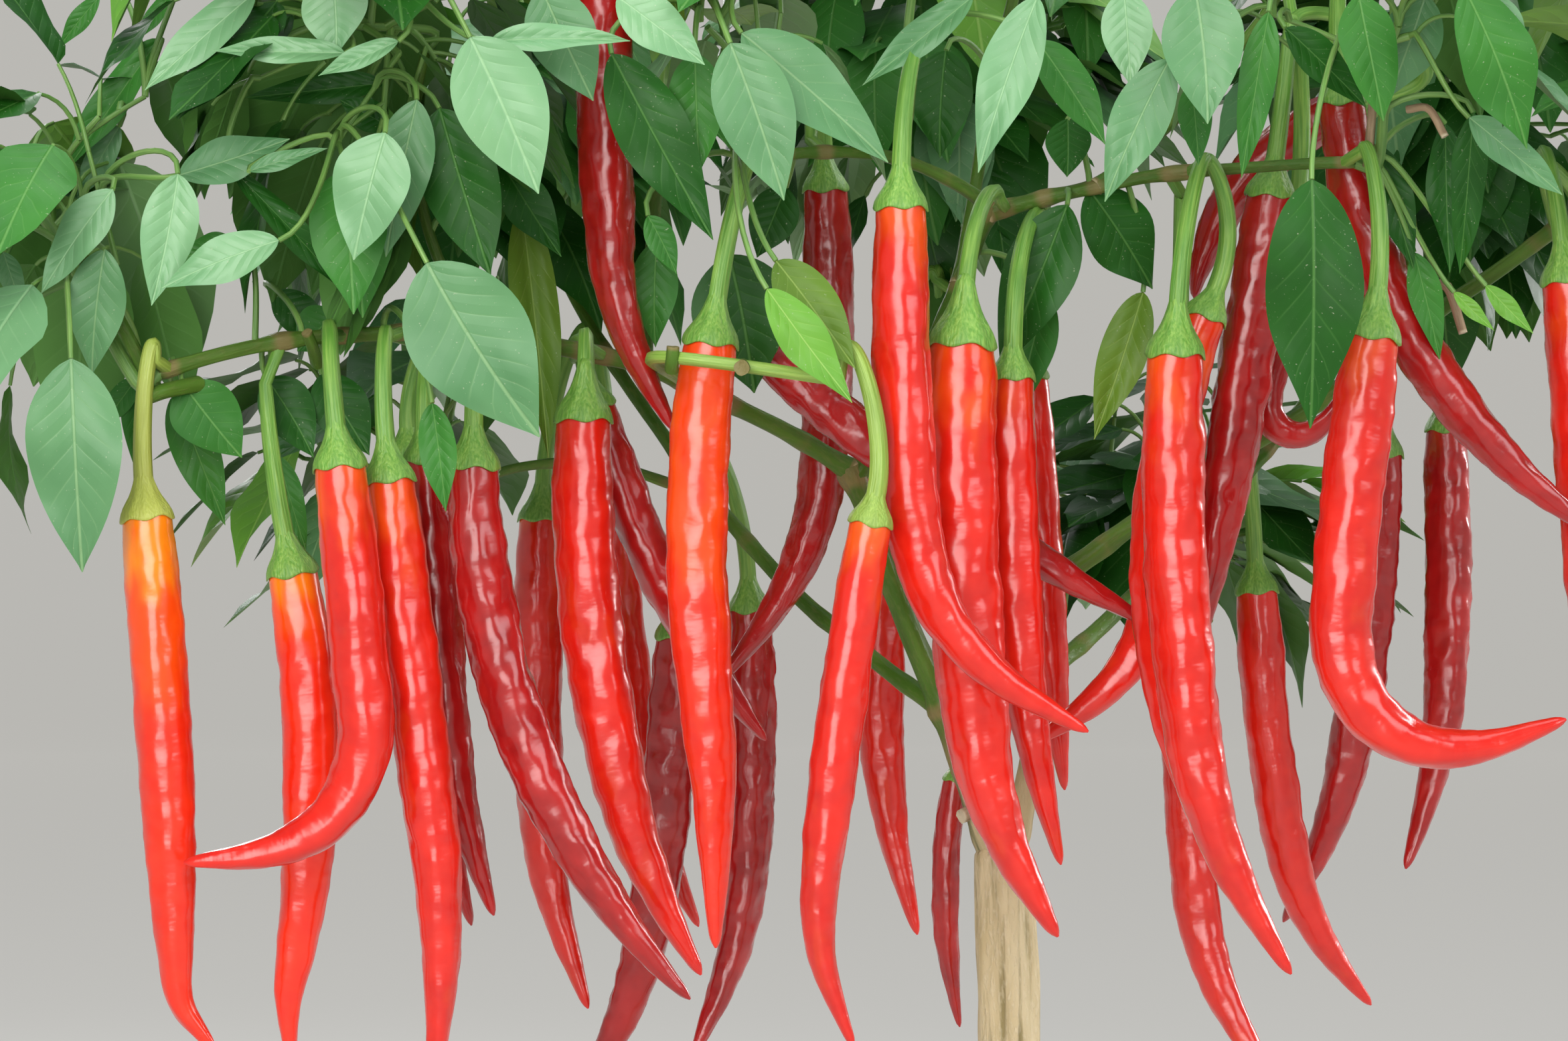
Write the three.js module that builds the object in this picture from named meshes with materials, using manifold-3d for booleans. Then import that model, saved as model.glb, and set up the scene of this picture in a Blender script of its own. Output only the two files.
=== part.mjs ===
// Chilli pepper plant, long-fruited and rooted in the ground, in millimetres with +Z up.
// The origin is the centre of the flat cut at the trunk's foot; the ripe side faces -Y.
// A woody trunk forks into limbs, every limb ends in a mass of drooping leaves, and the long
// red fruits hang from fruiting spurs below the leaves.
import * as THREE from 'three';
import Module from 'manifold-3d';

// Driving dimensions
const FORK_HEIGHT = 249;
const TRUNK_LEAN = [-4, 0];
const LEAN_CURVE = 1.6;
const TRUNK_RINGS = [0, 5, 12, 22, 40, 80, 130, 180, 225, FORK_HEIGHT];
const TRUNK_RADIUS = { ground: 11.5, fork: 8.2 };
const ROOT_FLARE = { extra: 6.5, height: 13 };
const JOINT_GAP = 0.35;
const PEDICEL_RADIUS = 2.3;
const PEDICEL_SWELL = [0.85, 1.25];
const STALK_PULL = { spur: 0.16, neck: 0.45 };
const CALYX_LENGTH = 9;
const FLESH_PROFILE = { top: 0.86, shoulderEnd: 0.14, bodyEnd: 0.38, tailLoss: 0.9, tailCurve: 1.9 };
const FLESH_TAIL_END = 0.94;
const SPUR_RADIUS = 1.9;
const FLESH_STEPS = 7;
const STALK_STEPS = 3;
const LEAF_LENGTH = [64, 98];
const LEAF_SLENDERNESS = 0.48;
const LEAF_THICKNESS = 1.3;
const LEAF_WIDEST = 0.4;
const LEAF_TIP_DROP = 0.08;
const LEAF_ROOT_HALF = 0.5;
const LEAF_DROOP = [0.45, 1.5];
const SIDE_LEAF_PLACES = [0.6];
const LEAF_ATTEMPTS = 14;
const LEAF_SHRINK = 0.04;
const LEAF_FACING_OUT = 0.5;
const LEAF_TURN = { aside: 0.75, lift: 0.1, outward: 0.9, along: 0.35 };
const SIDE_LEAF_SPREAD = 0.7;
const SPIRAL_TURN = 137.5;
const OBSTACLE_STEP = 3;
const TWIG_RADII = [1.2, 1.1];
const TWIG_REACH = [0.36, 0.62];
const TWIG_JITTER = 0.7;
const LIMB_CLEARANCE = 1.3;
const CELL_MARGIN = 0.6;
const REACH_ALLOWED = 1.1;
const COLLAR_LENGTH = 7;
const STEM_BEYOND = 0.35;
const STEM_TAPER = [1, 0.95, 0.85, 0.7];
const KNOT_RANGE = [0.3, 0.98];
const TRUNK_SIDES = 10;
const LIMB_SIDES = 5;
const LIMB_STEP = 36;
const LIMB_STEPS_LEAST = 4;
const WOODY_RADIUS = 2.5;
const STEM_SIDES = 5;
const FRUIT_SIDES = 5;

// Colours read from the plant: fissured tan bark, green shoots, leaves and the ripe fruits
const COLOURS = { bark: 0xa99474, shoot: 0x6f9440, leaf: 0x35663a, fruit: 0xcf1f14, ripening: 0xf2571a };
const ROUGHNESS = { bark: 0.85, limb: 0.7, leaf: 0.5, fruit: 0.25 };

// Limbs: where each one springs from, where it ends, how far its middle bows off the straight
// line, and its radius at the start and the end
const LIMBS = [
  { name: 'limb-left', on: 'trunk', at: 0.965,
    to: [-54, -22, 374], bow: [1, 2, -2], radius: [4.4, 3.2] },
  { name: 'limb-right', on: 'trunk', at: 0.965,
    to: [14, 0, 340], bow: [2, 0, 0], radius: [4.2, 3.4] },
  { name: 'arm-left', on: 'limb-left', at: 0.99,
    to: [-262, -90, 401], bow: [0, -2, 26], radius: [2.9, 2.1] },
  { name: 'arm-right', on: 'limb-right', at: 0.985,
    to: [222, 22, 484], bow: [-6, 0, -5], radius: [3.2, 2.2] },
  { name: 'limb-center', on: 'limb-left', at: 0.97,
    to: [-10, -42, 455], bow: [3, 3, 0], radius: [2.9, 2.4] },
  { name: 'bough-center-left', on: 'limb-center', at: 0.99,
    to: [-82, -72, 467], bow: [6, 0, 7], radius: [2.1, 1.7] },
  { name: 'bough-center-right', on: 'limb-center', at: 0.97,
    to: [100, -68, 466], bow: [0, 2, 4], radius: [2.3, 1.7] },
  { name: 'spur-center', on: 'bough-center-left', at: 0.43,
    to: [-36, -84, 502], bow: [2, -5, 1], radius: [1.8, 1.6] },
  { name: 'stem-left', on: 'arm-left', at: 0.57,
    to: [-184, -62, 500], bow: [-9, 0, 0], radius: [1.9, 1.5] },
  { name: 'stem-top-left', on: 'arm-left', at: 0.33,
    to: [-117, -46, 622], bow: [4, 10, 0], radius: [2.2, 1.6] },
  { name: 'stem-top', on: 'limb-center', at: 0.72,
    to: [14, -14, 606], bow: [-2, 6, -6], radius: [2.3, 1.7] },
  { name: 'bough-right-upper', on: 'bough-center-right', at: 0.3,
    to: [106, -14, 566], bow: [4, -2, -8], radius: [2, 1.6] },
  { name: 'limb-back', on: 'trunk', at: 0.975,
    to: [-14, 150, 452], bow: [4, 26, -8], radius: [3.6, 2.2] },
  { name: 'limb-back-left', on: 'limb-left', at: 0.42,
    to: [-150, 112, 440], bow: [-4, 8, -14], radius: [3, 2] },
  { name: 'limb-back-right', on: 'limb-right', at: 0.7,
    to: [140, 128, 446], bow: [0, 8, -14], radius: [3, 2] },
  { name: 'bough-low-left', on: 'limb-back-left', at: 0.55,
    to: [-168, 22, 372], bow: [-6, 4, 8], radius: [1.9, 1.5] },
  { name: 'bough-low-back', on: 'limb-back', at: 0.5,
    to: [42, 158, 356], bow: [0, 6, 6], radius: [1.9, 1.5] },
];

// Masses of leaves: the limb whose tip carries each, its heart, its reach along X, Y and Z, the
// number of twigs and the seed of its branching
const MASSES = [
  { name: 'foliage-left-tip', on: 'arm-left', heart: [-292, -84, 440],
    reach: [60, 78, 88], twigs: 12, seed: 11 },
  { name: 'foliage-left', on: 'stem-left', heart: [-206, -84, 506],
    reach: [80, 84, 92], twigs: 14, seed: 23 },
  { name: 'foliage-top-left', on: 'stem-top-left', heart: [-128, -30, 634],
    reach: [92, 96, 74], twigs: 16, seed: 39 },
  { name: 'foliage-center-left', on: 'bough-center-left', heart: [-92, -78, 502],
    reach: [58, 70, 76], twigs: 13, seed: 41 },
  { name: 'foliage-center', on: 'spur-center', heart: [-30, -100, 560],
    reach: [60, 70, 62], twigs: 11, seed: 53 },
  { name: 'foliage-top', on: 'stem-top', heart: [6, 2, 644],
    reach: [82, 88, 72], twigs: 13, seed: 67 },
  { name: 'foliage-center-right', on: 'bough-center-right', heart: [106, -94, 494],
    reach: [66, 68, 78], twigs: 13, seed: 71 },
  { name: 'foliage-top-right', on: 'bough-right-upper', heart: [132, -18, 596],
    reach: [92, 92, 78], twigs: 13, seed: 83 },
  { name: 'foliage-right', on: 'arm-right', heart: [234, -8, 492],
    reach: [78, 96, 88], twigs: 13, seed: 97 },
  { name: 'foliage-back-left', on: 'limb-back-left', heart: [-178, 116, 482],
    reach: [96, 92, 92], twigs: 13, seed: 103 },
  { name: 'foliage-back', on: 'limb-back', heart: [-22, 160, 520],
    reach: [92, 92, 96], twigs: 14, seed: 113 },
  { name: 'foliage-back-right', on: 'limb-back-right', heart: [158, 132, 501],
    reach: [94, 92, 94], twigs: 13, seed: 127 },
  { name: 'foliage-low-left', on: 'bough-low-left', heart: [-196, 10, 372],
    reach: [76, 72, 66], twigs: 11, seed: 139 },
  { name: 'foliage-low-back', on: 'bough-low-back', heart: [60, 168, 346],
    reach: [90, 76, 70], twigs: 14, seed: 151 },
];

// Fruits: the limb and the place on it that carries the spur, the spur's corner points, and for
// each fruit the top of its flesh, its length, its heading off plumb (lean), the turn that is
// spread over its length (bend), the turn of its tail and where along the fruit that starts, the
// bearing of the plane that it bends in, and how high its stalk arches
const RIPE_FRUITS = [
  { name: 'fruit-left-end', ripening: true, on: 'arm-left', at: 0.985,
    spur: [[-262, -97, 405]], fruits: [
    { top: [-264, -100, 359], length: 164, width: 17,
      lean: 5, bend: -3, tail: 36, tailFrom: 0.84, arch: 9 }] },
  { name: 'fruit-left-hanging', ripening: true, on: 'arm-left', at: 0.83,
    spur: [[-231, -80, 398]], fruits: [
    { top: [-223, -80, 342], length: 150, width: 17,
      lean: 11, bend: -27, tail: 18, tailFrom: 0.8, arch: 3 }] },
  { name: 'fruit-left-curled', on: 'arm-left', at: 0.75,
    spur: [[-211, -88, 412]], fruits: [
    { top: [-205, -115, 374], length: 154, width: 17,
      lean: 6, bend: 0, tail: -91, tailFrom: 0.42, arch: 5 }] },
  { name: 'fruit-left-grooved', on: 'arm-left', at: 0.67,
    spur: [[-194, -84, 412]], fruits: [
    { top: [-192, -98, 370], length: 186, width: 17,
      lean: 6, bend: 4, tail: -14, tailFrom: 0.5, arch: 4 }] },
  { name: 'fruit-left-pair', on: 'arm-left', at: 0.61,
    spur: [[-182, -56, 408]], fruits: [
    { top: [-183, -76, 376], length: 141, width: 15,
      lean: 3, bend: 6, tail: 9, tailFrom: 0.5, arch: 5 },
    { top: [-190, -52, 378], length: 148, width: 14,
      lean: 2, bend: 6, tail: 9, tailFrom: 0.5, arch: 6 }] },
  { name: 'fruit-left-dark', on: 'arm-left', at: 0.555,
    spur: [[-167, -76, 412]], fruits: [
    { top: [-167, -96, 374], length: 177, width: 17,
      lean: 0, bend: 44, tail: 0, tailFrom: 0.5, arch: 5 }] },
  { name: 'fruit-middle-left', on: 'arm-left', at: 0.39,
    spur: [[-135, -66, 410]], fruits: [
    { top: [-135, -76, 389], length: 176, width: 19,
      lean: -2, bend: 24, tail: 8, tailFrom: 0.6, arch: 4 }] },
  { name: 'fruit-middle-behind', on: 'arm-left', at: 0.42,
    spur: [[-139, -44, 407]], fruits: [
    { top: [-133, -46, 393], length: 118, width: 14,
      lean: 15, bend: 24, tail: 0, tailFrom: 0.5, arch: 6 }] },
  { name: 'fruit-high', on: 'stem-top-left', at: 0.9,
    spur: [[-120, -62, 604]], fruits: [
    { top: [-128, -84, 552], length: 172, width: 17,
      lean: -2, bend: 8, tail: 22, tailFrom: 0.6, arch: 6 }] },
  { name: 'fruit-middle', ripening: true, on: 'bough-center-left', at: 0.9,
    spur: [[-82, -84, 470]], fruits: [
    { top: [-96, -98, 411], length: 182, width: 18,
      lean: -8, bend: 24, tail: -14, tailFrom: 0.55, arch: 2 }] },
  { name: 'fruit-maroon', on: 'bough-center-left', at: 0.74,
    spur: [[-66, -54, 474]], fruits: [
    { top: [-61, 2, 464], length: 168, width: 16,
      lean: 3, bend: -12, tail: -30, tailFrom: 0.45, arch: 20 }] },
  { name: 'fruit-lying', on: 'arm-left', at: 0.2,
    spur: [[-97, -44, 402]], fruits: [
    { top: [-80, -52, 408], length: 146, width: 14,
      lean: 48, bend: 14, tail: 0, tailFrom: 0.5, arch: 12 }] },
  { name: 'fruit-center-bent', on: 'spur-center', at: 0.84,
    spur: [[-33, -96, 500]], fruits: [
    { top: [-40, -117, 450], length: 178, width: 17,
      lean: -1, bend: 12, tail: 50, tailFrom: 0.46, arch: 3 }] },
  { name: 'fruit-center-front', on: 'arm-left', at: 0.27,
    spur: [[-111, -116, 405], [-58, -122, 398]], fruits: [
    { top: [-49, -130, 357], length: 156, width: 14,
      lean: -10, bend: 6, tail: 26, tailFrom: 0.66, arch: 16 }] },
  { name: 'fruit-center-broad', on: 'bough-center-right', at: 0.05,
    spur: [[-8, -56, 456]], fruits: [
    { top: [-21, -95, 411], length: 184, width: 22,
      lean: -3, bend: 16, tail: 18, tailFrom: 0.6, arch: 3 }] },
  { name: 'fruit-center-pair', on: 'bough-center-right', at: 0.16,
    spur: [[7, -34, 452]], fruits: [
    { top: [-5, -74, 401], length: 150, width: 15,
      lean: -1, bend: 10, tail: 6, tailFrom: 0.5, arch: 3 },
    { top: [3, -18, 403], length: 132, width: 14,
      lean: 3, bend: 4, tail: 0, tailFrom: 0.5, arch: 2 }] },
  { name: 'fruit-right-swept', on: 'bough-center-right', at: 0.5,
    spur: [[49, -44, 458]], fruits: [
    { top: [49, -35, 403], length: 134, width: 15,
      lean: -2, bend: -10, tail: -46, tailFrom: 0.4, arch: 2 }] },
  { name: 'fruit-right-pair', on: 'bough-center-right', at: 0.56,
    spur: [[54, -72, 466]], fruits: [
    { top: [55, -62, 420], length: 160, width: 15,
      lean: -22, bend: 42, tail: 0, tailFrom: 0.5, arch: 2 },
    { top: [43, -90, 408], length: 194, width: 19,
      lean: -3, bend: 19, tail: 16, tailFrom: 0.55, arch: 3 }] },
  { name: 'fruit-upper-right-group', on: 'bough-right-upper', at: 0.66,
    spur: [[84, -42, 512]], fruits: [
    { top: [77, -42, 459], length: 150, width: 17,
      lean: -8, bend: -3, tail: 0, tailFrom: 0.5, arch: 3 },
    { top: [88, -18, 452], length: 98, width: 12,
      lean: -4, bend: -24, tail: 176, tailFrom: 0.5, arch: 3 },
    { top: [112, 3, 491], length: 88, width: 15,
      lean: -74, bend: 66, tail: 0, tailFrom: 0.5, arch: 5 }] },
  { name: 'fruit-upper-right-arched', on: 'bough-right-upper', at: 0.8,
    spur: [[102, -26, 530]], fruits: [
    { top: [98, -50, 487], length: 164, width: 16,
      lean: 4, bend: 54, tail: 0, tailFrom: 0.5, arch: 4 }] },
  { name: 'fruit-right-hooked', on: 'bough-center-right', at: 0.97,
    spur: [[101, -80, 469]], fruits: [
    { top: [102, -90, 413], length: 180, width: 19,
      lean: -8, bend: 6, tail: 112, tailFrom: 0.42, arch: 3 }] },
  { name: 'fruit-far-right', on: 'arm-right', at: 0.78,
    spur: [[166, -12, 470]], fruits: [
    { top: [170, -34, 433], length: 166, width: 17,
      lean: 6, bend: -4, tail: 10, tailFrom: 0.5, arch: 6 },
    { top: [196, 30, 402], length: 150, width: 16,
      lean: -3, bend: 10, tail: 0, tailFrom: 0.5, bearing: 60, arch: 3 }] },
  { name: 'fruit-shrivelled', on: 'limb-back', at: 0.16,
    spur: [[-9, 26, 300]], fruits: [
    { top: [-18, 34, 272], length: 82, width: 9,
      lean: -10, bend: 22, tail: 0, tailFrom: 0.5, arch: 4 }] },
];

// Pairs of fruits behind the plant: where each pair's spur leaves its limb, which way it stands
// off, and how the two fruits lean
const BACK_FRUITS = [
  { name: 'fruit-back-left-outer', on: 'limb-back-left', at: 0.86, side: [-12, 12], lean: 5 },
  { name: 'fruit-back-left-inner', on: 'limb-back-left', at: 0.62, side: [10, 20], lean: -6 },
  { name: 'fruit-back-center', on: 'limb-back', at: 0.94, side: [-16, 10], lean: 4 },
  { name: 'fruit-back-right-inner', on: 'limb-back-right', at: 0.6, side: [-14, 22], lean: 8 },
  { name: 'fruit-back-right-outer', on: 'limb-back-right', at: 0.95, side: [14, 12], lean: -5 },
];
const BACK_FRUIT = {
  length: 172, shorter: 14, width: 17, drop: 62, higher: 9, apart: 12, deeper: 4,
  splay: 3, bearing: 25, arch: 8, spurRise: 6, spurShare: 0.5, topShare: 0.4,
};

// Seeded draws between 0 and 1
function seededDraws(seed) {
  let state = seed;
  return () => {
    state = (state * 16807) % 2147483647;
    return state / 2147483647;
  };
}

const vector = (list) => new THREE.Vector3(...list);
const degrees = (angle) => (angle * Math.PI) / 180;
const blend = (from, to, share) => from + (to - from) * share;

// A closed tube through points, with one radius for each and a flat cap at both ends
function closedTube(points, radii, sides) {
  const tangents = points.map((point, i) => {
    const before = points[Math.max(i - 1, 0)];
    const after = points[Math.min(i + 1, points.length - 1)];
    return after.clone().sub(before).normalize();
  });
  const reference = Math.abs(tangents[0].y) < 0.9 ? new THREE.Vector3(0, 1, 0) : new THREE.Vector3(1, 0, 0);
  const normal = reference.clone().cross(tangents[0]).normalize();
  const vertices = [];
  points.forEach((point, i) => {
    if (i > 0) {
      const turn = new THREE.Quaternion().setFromUnitVectors(tangents[i - 1], tangents[i]);
      normal.applyQuaternion(turn).normalize();
    }
    const binormal = tangents[i].clone().cross(normal);
    for (let j = 0; j < sides; j += 1) {
      const angle = (2 * Math.PI * j) / sides;
      const out = normal.clone().multiplyScalar(Math.cos(angle)).addScaledVector(binormal, Math.sin(angle));
      vertices.push(point.clone().addScaledVector(out, radii[i]));
    }
  });
  const faces = [];
  for (let i = 0; i < points.length - 1; i += 1) {
    for (let j = 0; j < sides; j += 1) {
      const here = i * sides + j;
      const next = i * sides + ((j + 1) % sides);
      faces.push([here, next, next + sides], [here, next + sides, here + sides]);
    }
  }
  const last = (points.length - 1) * sides;
  for (let j = 1; j < sides - 1; j += 1) {
    faces.push([0, j + 1, j], [last, last + j, last + j + 1]);
  }
  return { vertices, faces };
}

// The frame of a leaf: along its midrib, to its right side and out of its face
function leafFrame(direction, upward) {
  const right = direction.clone().cross(upward).normalize();
  return { direction, right, above: right.clone().cross(direction).normalize() };
}

// The right edge, left edge and tip of a blade whose midrib starts at the given root; the midrib
// is the ridge of the blade and its tip droops
function bladeCorners(root, { direction, right, above }, length) {
  const place = (along, aside, lift) => root.clone().addScaledVector(direction, along * length)
    .addScaledVector(right, aside * length).addScaledVector(above, lift);
  const tipDrop = LEAF_TIP_DROP * length;
  const ridge = blend(LEAF_ROOT_HALF, -tipDrop, LEAF_WIDEST);
  const half = LEAF_SLENDERNESS / 2;
  return [
    place(LEAF_WIDEST, half, ridge - LEAF_THICKNESS),
    place(LEAF_WIDEST, -half, ridge - LEAF_THICKNESS),
    place(1, 0, -tipDrop),
  ];
}

// A leaf with an upright root edge, which is sunk in its twig
function leafShape(root, frame, length) {
  const vertices = [
    root.clone().addScaledVector(frame.above, LEAF_ROOT_HALF),
    root.clone().addScaledVector(frame.above, -LEAF_ROOT_HALF),
    ...bladeCorners(root, frame, length),
  ];
  return { vertices, faces: [[0, 2, 4], [0, 4, 3], [0, 1, 2], [1, 0, 3], [1, 3, 2], [2, 3, 4]] };
}

// A three-sided twig that runs on into the leaf at its end
function leafyTwigShape(start, end, frame, length) {
  const along = end.clone().sub(start).normalize();
  const top = frame.above.clone().addScaledVector(along, -frame.above.dot(along)).normalize();
  const side = along.clone().cross(top);
  const ring = (centre, radius) => [0, 120, 240].map((angle) => centre.clone()
    .addScaledVector(top, radius * Math.cos(degrees(angle)))
    .addScaledVector(side, radius * Math.sin(degrees(angle))));
  const vertices = [
    ...ring(start.clone().addScaledVector(along, -TWIG_RADII[0] / 2), TWIG_RADII[0]),
    ...ring(end, TWIG_RADII[1]),
    ...bladeCorners(end, frame, length),
  ];
  const faces = [
    [0, 2, 1], [0, 1, 4], [0, 4, 3], [1, 2, 5], [1, 5, 4], [2, 0, 3], [2, 3, 5],
    [3, 6, 8], [3, 8, 7], [3, 4, 6], [5, 3, 7], [4, 5, 7], [4, 7, 6], [6, 7, 8],
  ];
  return { vertices, faces };
}

const manifoldLibrary = await Module();
manifoldLibrary.setup();
const { Manifold, Mesh: SolidMesh } = manifoldLibrary;

function solidOf({ vertices, faces }) {
  const vertProperties = new Float32Array(vertices.flatMap((vertex) => vertex.toArray()));
  return new Manifold(new SolidMesh({ numProp: 3, vertProperties, triVerts: new Uint32Array(faces.flat()) }));
}

// The largest body of a joined solid, which drops loose scraps and fills sealed hollows
function largestBody(solid) {
  return solid.decompose().reduce((best, body) => (body.volume() > best.volume() ? body : best));
}

function meshOf(name, solid, colour, roughness) {
  const { vertProperties, triVerts } = solid.getMesh();
  const geometry = new THREE.BufferGeometry();
  geometry.setAttribute('position', new THREE.BufferAttribute(vertProperties.slice(), 3));
  geometry.setIndex(new THREE.BufferAttribute(triVerts.slice(), 1));
  geometry.computeVertexNormals();
  const material = new THREE.MeshStandardMaterial({ color: colour, roughness, metalness: 0 });
  const mesh = new THREE.Mesh(geometry, material);
  mesh.name = name;
  return mesh;
}

// The line of a limb: a curve through its bowed middle, sampled from its start to its end
function limbLine(from, to, bow, steps) {
  const middle = from.clone().lerp(to, 0.5).addScaledVector(bow, 2);
  return new THREE.QuadraticBezierCurve3(from, middle, to).getPoints(steps);
}

// A solid cut clear of its neighbours, less whatever scraps that leaves
function cutClear(solid, neighbours) {
  return largestBody(neighbours.reduce((rest, neighbour) => rest.subtract(neighbour), solid));
}

function trunkLine() {
  const lean = (height) => (height / FORK_HEIGHT) ** LEAN_CURVE;
  const points = TRUNK_RINGS.map((z) => (
    new THREE.Vector3(TRUNK_LEAN[0] * lean(z), TRUNK_LEAN[1] * lean(z), z)));
  const radii = TRUNK_RINGS.map((z) => blend(TRUNK_RADIUS.ground, TRUNK_RADIUS.fork, z / FORK_HEIGHT)
    + ROOT_FLARE.extra * Math.exp(-z / ROOT_FLARE.height));
  return { points, radii };
}

// A place along a line of points, by share of its length
function placeOn(points, share) {
  const curve = new THREE.CatmullRomCurve3(points);
  return { point: curve.getPointAt(Math.min(share, 1)), heading: curve.getTangentAt(Math.min(share, 1)) };
}

const lines = new Map();
const group = new THREE.Group();
const swollenLimbs = [];
const swollenFruits = [];
const obstacles = [];

// Round marks along a line, which later leaves and twigs keep clear of
function markObstacle(points, radii) {
  for (let i = 0; i < points.length - 1; i += 1) {
    const steps = Math.ceil(points[i].distanceTo(points[i + 1]) / OBSTACLE_STEP);
    for (let k = 0; k < steps; k += 1) {
      const share = k / steps;
      const centre = points[i].clone().lerp(points[i + 1], share);
      obstacles.push({ centre, radius: blend(radii[i], radii[i + 1], share) });
    }
  }
}

// A limb grown by the joint gap all round and past both ends, to cut its neighbours clear of it
function swollen(points, radii, sides) {
  const past = (end, inner) => end.clone().add(end.clone().sub(inner).setLength(JOINT_GAP));
  const longer = [past(points[0], points[1]), ...points, past(points.at(-1), points.at(-2))];
  const wider = [radii[0], ...radii, radii.at(-1)].map((radius) => radius + JOINT_GAP);
  return solidOf(closedTube(longer, wider, sides));
}

function addTrunk() {
  const { points, radii } = trunkLine();
  lines.set('trunk', { points, radii });
  swollenLimbs.push(swollen(points, radii, TRUNK_SIDES));
  markObstacle(points, radii);
  group.add(meshOf('trunk', solidOf(closedTube(points, radii, TRUNK_SIDES)), COLOURS.bark, ROUGHNESS.bark));
}

function addLimb({ name, on, at, to, bow, radius }) {
  const from = placeOn(lines.get(on).points, at).point;
  const steps = Math.max(LIMB_STEPS_LEAST, Math.round(from.distanceTo(vector(to)) / LIMB_STEP));
  const points = limbLine(from, vector(to), vector(bow), steps);
  const radii = points.map((point, i) => blend(radius[0], radius[1], i / steps));
  const solid = cutClear(solidOf(closedTube(points, radii, LIMB_SIDES)), swollenLimbs);
  lines.set(name, { points, radii });
  swollenLimbs.push(swollen(points, radii, LIMB_SIDES));
  markObstacle(points, radii);
  const woody = radius[0] > WOODY_RADIUS;
  group.add(meshOf(name, solid, woody ? COLOURS.bark : COLOURS.shoot, ROUGHNESS.limb));
}

// The line of a fruit: it leaves its top at the lean and turns by bend and tail along its length
function fruitLine(fruit, steps) {
  const bearing = degrees(fruit.bearing ?? 0);
  const headingAt = (share) => {
    const tail = fruit.tail * THREE.MathUtils.smoothstep(share, fruit.tailFrom, FLESH_TAIL_END);
    const angle = degrees(fruit.lean + fruit.bend * share + tail);
    const aside = Math.sin(angle);
    return new THREE.Vector3(aside * Math.cos(bearing), aside * Math.sin(bearing), -Math.cos(angle));
  };
  const points = [vector(fruit.top)];
  for (let i = 0; i < steps; i += 1) {
    points.push(points[i].clone().addScaledVector(headingAt((i + 0.5) / steps), fruit.length / steps));
  }
  return { points, start: headingAt(0) };
}

// Half the width of the flesh along its length: shoulders, an even body and a long pointed tail
function fruitRadius(width, share) {
  const { top, shoulderEnd, bodyEnd, tailLoss, tailCurve } = FLESH_PROFILE;
  const shoulder = blend(top, 1, Math.min(share / shoulderEnd, 1));
  const taper = Math.max((share - bodyEnd) / (1 - bodyEnd), 0);
  return (width / 2) * shoulder * (1 - tailLoss * taper ** tailCurve);
}

// The centres and radii of one fruit with its stalk: from the spur's end over the arch, through
// the cup of the calyx and down the flesh
function fruitRings(spurEnd, fruit) {
  const { points: flesh, start } = fruitLine(fruit, FLESH_STEPS);
  const neck = flesh[0].clone().addScaledVector(start, -CALYX_LENGTH);
  const rise = spurEnd.clone().add(new THREE.Vector3(0, 0, fruit.arch)).lerp(neck, STALK_PULL.spur);
  const pull = neck.clone().addScaledVector(start, -STALK_PULL.neck * neck.distanceTo(spurEnd));
  const stalk = new THREE.CubicBezierCurve3(spurEnd, rise, pull, neck).getPoints(STALK_STEPS);
  return {
    points: [...stalk, ...flesh],
    radii: [
      ...stalk.map((point, i) => PEDICEL_RADIUS * blend(...PEDICEL_SWELL, i / STALK_STEPS)),
      ...flesh.map((point, i) => fruitRadius(fruit.width, i / FLESH_STEPS)),
    ],
  };
}

// A spur with its fruits; the first fruit's stalk runs on from the spur as one tube
function addFruitSpur({ name, on, at, spur, fruits, ripening }) {
  const corners = [placeOn(lines.get(on).points, at).point, ...spur.map(vector)];
  const bodies = fruits.map((fruit, i) => {
    const rings = fruitRings(corners.at(-1), fruit);
    const lead = i === 0 ? corners.slice(0, -1) : [];
    const points = [...lead, ...rings.points];
    const radii = [...lead.map(() => SPUR_RADIUS), ...rings.radii];
    markObstacle(points, radii);
    swollenFruits.push(swollen(points, radii, FRUIT_SIDES));
    return solidOf(closedTube(points, radii, FRUIT_SIDES));
  });
  const solid = cutClear(Manifold.union(bodies), swollenLimbs);
  group.add(meshOf(name, solid, ripening ? COLOURS.ripening : COLOURS.fruit, ROUGHNESS.fruit));
}

// Two fruits on one spur behind the plant, one each side of it
function backSpur({ name, on, at, side, lean }) {
  const { point } = placeOn(lines.get(on).points, at);
  const { spurShare, topShare, spurRise } = BACK_FRUIT;
  const end = point.clone().add(vector([side[0] * spurShare, side[1] * spurShare, spurRise]));
  const fruits = [-1, 1].map((hand, i) => ({
    top: [
      end.x + side[0] * topShare + hand * BACK_FRUIT.apart,
      end.y + side[1] * topShare + hand * BACK_FRUIT.deeper,
      end.z - BACK_FRUIT.drop + i * BACK_FRUIT.higher,
    ],
    length: BACK_FRUIT.length - i * BACK_FRUIT.shorter,
    width: BACK_FRUIT.width - i,
    lean: BACK_FRUIT.splay * hand,
    bend: 2 * lean,
    tail: 3 * lean,
    tailFrom: 0.5,
    bearing: hand * BACK_FRUIT.bearing,
    arch: BACK_FRUIT.arch,
  }));
  return { name, on, at, spur: [end.toArray()], fruits };
}

const toTriangle = (vertices, face) => new THREE.Triangle(...face.map((corner) => vertices[corner]));

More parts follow.
